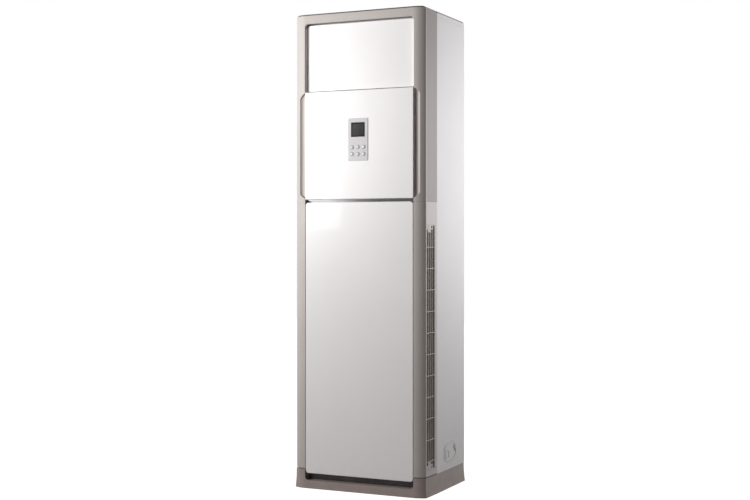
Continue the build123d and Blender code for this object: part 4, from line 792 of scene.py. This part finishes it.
def facing(points):
    """The flattest direction of a set of points, pointing away from the machine."""
    centre = points.mean(axis=0)
    axis = Vector(np.linalg.svd(points - centre)[2][2])
    outward = Vector((centre[0], centre[1], 0))
    return axis if axis.dot(outward) > 0 else -axis


def rounded_middle(points):
    """A key to sort by, which doesn't hang on the order of the points."""
    return points.mean(axis=0).round(6).tolist()


all_heads = bmesh.new()
screw_parts = sorted(islands("screws"), key=rounded_middle)
for turn, points in enumerate(screw_parts):
    axis = facing(points)
    spots = points @ np.array(axis)
    centre = Vector((points.max(axis=0) + points.min(axis=0)) / 2)
    base = centre - axis * (spots.max() - spots.min()) / 2
    one = bmesh.new()
    one.from_mesh(head_mesh)
    one.transform(Matrix.Rotation(math.radians(SCREW_TURN * turn), 4, "Z"))
    set_on(one, base, axis)
    placed = to_mesh(one, "placed_head")
    all_heads.from_mesh(placed)
    bpy.data.meshes.remove(placed)
heads = to_mesh(all_heads, "screw_heads", smooth=False)
piece("screw_heads", heads, "cabinet", "screw_steel", ["screws"])
print(len(screw_parts), "screws")

# %% [markdown]
# ## A ribbed drain hose
#
# Drain hoses are corrugated so that they bend without closing. The section of one rib,
# repeated down the length and spun, gives the real bellows shape inside the same cylinder
# that CAD uses. A smooth end sleeve at the top goes over the spout of the drain pan.

# %% Drain hose
RIB_PITCH = 0.005
RIB_DEPTH = 0.0012
RIB_SHAPE = ((0.1, RIB_DEPTH), (0.35, 0.0), (0.65, 0.0), (0.9, RIB_DEPTH))
HOSE_SLEEVE = 0.03
HOSE_WALL = 0.0025
HOSE_STEPS = 28

low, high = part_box("drain_hose")
hose_outside = (high.x - low.x) / 2
hose_bore = hose_outside - HOSE_WALL
hose_length = high.z - low.z
ribs = int((hose_length - HOSE_SLEEVE) / RIB_PITCH)
outline = [(hose_bore, 0), (hose_outside - RIB_DEPTH, 0)]
for rib in range(ribs):
    for share, inset in RIB_SHAPE:
        outline.append((hose_outside - inset, (rib + share) * RIB_PITCH))
outline.append((hose_outside, ribs * RIB_PITCH + 0.001))
outline += [(hose_outside, hose_length), (hose_bore, hose_length), (hose_bore, 0)]
hose = turned(outline, HOSE_STEPS)
hose.transform(Matrix.Translation((middle("drain_hose").x, middle("drain_hose").y, low.z)))
hose_mesh = to_mesh(hose, "ribbed_drain_hose")
piece("ribbed_drain_hose", hose_mesh, "cabinet", "hose_plastic", ["drain_hose"])
print(ribs, "ribs on the hose")

# %% [markdown]
# ## The band of painted shade in the groove
#
# Between the middle panel and the lower panel runs a narrow groove. A near-black band lines it:
# its dark colour is painted shade for the deep groove, and its gloss is real and mirrors the left
# lamp at one end and goes dark at the other. The frame has a step there: an apron behind the
# middle panel, a ledge under it, and a wall further back. Rays cast into the groove find all
# three, and the band lies on each of them as a thin slab.

# %% Groove band of painted shade
BAND_THICKNESS = 0.0004
BAND_HIDDEN = 0.006  # how far it reaches behind the panels' edges
IN_FRONT = -0.3  # a place before the machine, where rays start


def slab(shape, low, high):
    """Adds a box from its lowest to its highest corner."""
    made = bmesh.ops.create_cube(shape, size=1)["verts"]
    low, high = Vector(low), Vector(high)
    for corner in made:
        corner.co = low + (corner.co + Vector((0.5, 0.5, 0.5))) * (high - low)


def wall_behind(x, z):
    """The depth of the upper frame's first surface behind a point of its front."""
    return nodes["upper_front_frame"].ray_cast((x, IN_FRONT, z), (0, 1, 0))[1].y


groove_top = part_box("middle_panel")[0].z
panel_low, panel_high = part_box("lower_front_panel")
apron_wall = wall_behind(0, groove_top - 0.0005)
deep_wall = wall_behind(0, panel_high.z + 0.001)
below_ledge = (0, deep_wall - 0.002, panel_high.z)
ledge = nodes["upper_front_frame"].ray_cast(below_ledge, (0, 0, 1))[1].z
apron_front, deep_front = apron_wall - BAND_THICKNESS, deep_wall - BAND_THICKNESS
foot = ledge - BAND_THICKNESS
band = bmesh.new()
for low, high in (
    ((apron_front, foot), (apron_wall, groove_top + BAND_HIDDEN)),
    ((apron_front, foot), (deep_wall, ledge)),
    ((deep_front, panel_high.z - BAND_HIDDEN), (deep_wall, ledge)),
):
    slab(band, (panel_low.x, *low), (panel_high.x, *high))
# Near-black painted shade for the deep groove; the gloss that mirrors the lamp is real.
layered(
    "painted_shade_gloss",
    (0.008, 0.007, 0.007),
    0.1,
    (0.16, 0.2),
    grain=120,
    depth=0.00001,
    specular=0.95,
)
band_mesh = to_mesh(band, "groove_shade_band", False)
piece("groove_shade_band", band_mesh, "cabinet", "painted_shade_gloss")
print("groove", round(groove_top - panel_high.z, 4), "m high")
print("walls at y", round(apron_wall, 4), "and", round(deep_wall, 4))

# %% [markdown]
# ## The ends of the finger hollows
#
# Beside the middle panel the frame has a long hollow for the fingers. Its upper end slants in
# to the corner of the panel, and a wedge in the frame's own finish gives it that slant. The
# wedge is a row of four-cornered sections: each starts at the frame's curve, which a ray
# finds, and hangs lower the farther out it lies.

# %% Wedges
WEDGE_FALL = 0.026  # from the upper end of the hollow down to where the slant begins
WEDGE_STEPS = 12
WEDGE_DEPTH = 0.0125
WEDGE_LEAST = 0.0002  # its height at its thin end
HOLLOW_WIDTH = 0.0245
MOUTH_GAP = 0.002  # between the lower panel and the side of the frame's mouth

mouth_half = panel_high.x + MOUTH_GAP
hollow_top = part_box("middle_panel")[1].z - 0.0005
wedges = bmesh.new()
for side in (-1, 1):
    sections = []
    for step in range(WEDGE_STEPS + 1):
        share = step / WEDGE_STEPS
        x = side * (mouth_half + HOLLOW_WIDTH * share)
        front = wall_behind(x, hollow_top + 0.004)
        fall = WEDGE_FALL * (share + 1 - math.sqrt(1 - share * share)) / 2
        low = hollow_top - max(fall, WEDGE_LEAST)
        back = front + WEDGE_DEPTH
        corners = ((front, hollow_top), (front, low), (back, low), (back, hollow_top))
        sections.append([wedges.verts.new((x, y, z)) for y, z in corners])
    for one, other in zip(sections, sections[1:]):
        for k in range(4):
            after = (k + 1) % 4
            wedges.faces.new((one[k], one[after], other[after], other[k]))
    wedges.faces.new(sections[0])
    wedges.faces.new(sections[-1])
bmesh.ops.recalc_face_normals(wedges, faces=wedges.faces)
piece("hollow_ends", to_mesh(wedges, "hollow_ends", False), "cabinet", "frame_plastic")
print("wedges from x", round(mouth_half, 4), "outwards")

# %% [markdown]
# ## Flanges of the door, and a strip of painted shade
#
# The door slides in a gap. Along each side of it a narrow white flange covers that gap, with a
# thin lining on the wall of the frame's mouth. Where the door goes down behind the middle panel, a
# thin black strip stands just above the panel's top edge: painted shade, the dark line of the
# shadow in the gap between the two.

# %% Flanges and the strip of painted shade
FLANGE_THICKNESS = 0.002
FLANGE_WIDTH = 0.003
FLANGE_END = 0.012  # below the top of the door
SLIDE_GAP = 0.0004  # between the door and what lies in front of it
LINING_THICKNESS = 0.0006
MOUTH_BEVEL = 0.001
SHADE_STRIP_THICKNESS = 0.0014
SHADE_STRIP_RISE = 0.0045  # above the middle panel
SHADE_STRIP_HIDDEN = 0.004  # behind the middle panel
SHADE_STRIP_INSET = 0.0035


def bevelled(shape, width):
    bmesh.ops.bevel(
        shape, geom=shape.edges[:], offset=width, segments=2, affect="EDGES", clamp_overlap=True
    )


door_low, door_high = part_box("outlet_door")
flange_back = door_low.y - SLIDE_GAP
flange_front = flange_back - FLANGE_THICKNESS
flange_foot, flange_top = hollow_top + 0.0005, door_high.z - FLANGE_END
flanges = bmesh.new()
for side in (-1, 1):
    near, far = sorted((side * mouth_half, side * (mouth_half - FLANGE_WIDTH)))
    slab(flanges, (near, flange_front, flange_foot), (far, flange_back, flange_top))
    near, far = sorted((side * mouth_half, side * (mouth_half - LINING_THICKNESS)))
    lining_front = wall_behind(side * (mouth_half + 0.0001), hollow_top + 0.02) + MOUTH_BEVEL
    slab(flanges, (near, lining_front, flange_foot), (far, flange_back, flange_top))
bevelled(flanges, 0.0004)
piece("door_flanges", to_mesh(flanges, "door_flanges", False), "cabinet", "gloss_white")

# A black strip that stands for the shadow in the gap above the middle panel: painted shade.
shade_strip = bmesh.new()
shade_strip_half = mouth_half - SHADE_STRIP_INSET
slab(
    shade_strip,
    (-shade_strip_half, flange_back - SHADE_STRIP_THICKNESS, hollow_top - SHADE_STRIP_HIDDEN),
    (shade_strip_half, flange_back, hollow_top + SHADE_STRIP_RISE),
)
bevelled(shade_strip, 0.0003)
piece("door_shade_strip", to_mesh(shade_strip, "door_shade_strip", False), "cabinet", "rubber_black")
print("flanges from z", round(flange_foot, 4), "to", round(flange_top, 4))

# %% [markdown]
# ## The display's printed border
#
# The window is one piece of dark glass, and a matt black border is printed round the part
# that lights up. Ink reflects far less than glass, so the border is darker than the screen.
# It is a thin frame with a hole: four rectangular rings joined corner by corner.

# %% Border of the display
BORDER_WIDTH = 0.0055
INK_THICKNESS = 0.00012
WINDOW_FLANGE = 0.0027  # of the window, hidden behind the pad's plate


def flat_frame(low, high, width, front, back):
    """A flat rectangular frame seen from the front, between two depths."""
    shape = bmesh.new()
    rings = []
    for depth in (front, back):
        for inset in (0.0, width):
            left, right = low[0] + inset, high[0] - inset
            bottom, top = low[1] + inset, high[1] - inset
            corners = ((left, bottom), (right, bottom), (right, top), (left, top))
            rings.append([shape.verts.new((x, depth, z)) for x, z in corners])
    outer_front, inner_front, outer_back, inner_back = rings
    loop = (outer_front, inner_front, inner_back, outer_back, outer_front)
    for one, other in zip(loop, loop[1:]):
        for k in range(4):
            after = (k + 1) % 4
            shape.faces.new((one[k], one[after], other[after], other[k]))
    bmesh.ops.recalc_face_normals(shape, faces=shape.faces)
    return shape


glass_low, glass_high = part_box("display_window")
border = flat_frame(
    (glass_low.x + WINDOW_FLANGE, glass_low.z + WINDOW_FLANGE),
    (glass_high.x - WINDOW_FLANGE, glass_high.z - WINDOW_FLANGE),
    BORDER_WIDTH,
    glass_low.y - INK_THICKNESS,
    glass_low.y,
)
layered(
    "border_ink", (0.008, 0.008, 0.008), 0.1, (0.5, 0.6), grain=900, depth=0.000005, specular=0.1
)
border_mesh = to_mesh(border, "display_border", False)
piece("display_border", border_mesh, "cabinet", "border_ink")
edge = 2 * (BORDER_WIDTH + WINDOW_FLANGE)
print("screen", [round((side - edge) * 1000, 1) for side in (glass_high - glass_low).xz], "mm")

# %% [markdown]
# ## The net of the filters
#
# A washable filter is a net of fine plastic threads in a frame. CAD has the frame, its bars
# and a thin screen. The threads are added on both faces of that screen, upright ones under
# crosswise ones. The filters lie behind the slanted grilles, so the helper first finds the
# screen's own directions from the node's points: the flattest one is its normal.

# %% Filter nets
THREAD_PITCH = 0.003
THREAD_WIDTH = 0.0006
THREAD_RISE = 0.0004
NET_INSET = 0.006  # from the outside of the frame to the first thread
SCREEN_HALF = 0.0003
SCREEN_PLACE = 0.0019  # of the screen's middle, from the inner face of the frame

for side in ("left", "right"):
    points = np.array([point.co for point in nodes[f"filter_{side}"].data.vertices])
    outward = facing(points)
    along = Vector((0, 0, 1)).cross(outward).normalized()
    to_piece = Matrix((along, (0, 0, 1), outward)).transposed()
    local = points @ np.array(to_piece)
    screen = local.min(axis=0)[2] + SCREEN_PLACE
    u_low, v_low = local.min(axis=0)[:2] + NET_INSET
    u_high, v_high = local.max(axis=0)[:2] - NET_INSET
    net = bmesh.new()
    for face in (-1, 1):
        levels = [screen + face * (SCREEN_HALF + THREAD_RISE * step) for step in (0, 1, 2)]
        under, over = sorted(levels[:2]), sorted(levels[1:])
        for u in np.arange(u_low, u_high, THREAD_PITCH):
            slab(net, (u, v_low, under[0]), (u + THREAD_WIDTH, v_high, under[1]))
        for v in np.arange(v_low, v_high, THREAD_PITCH):
            slab(net, (u_low, v, over[0]), (u_high, v + THREAD_WIDTH, over[1]))
    net.transform(to_piece.to_4x4())
    net_mesh = to_mesh(net, f"filter_net_{side}", False)
    piece(f"filter_net_{side}", net_mesh, "cabinet", "filter_mesh")
print("threads every", THREAD_PITCH, "m;", len(net_mesh.polygons), "faces in a net")

# %% [markdown]
# ## Last measures
#
# The dressed machine must fill the same box as the CAD model.

# %% Set the view transform and measure the box
bpy.context.scene.view_settings.view_transform = "Standard"
low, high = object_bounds()
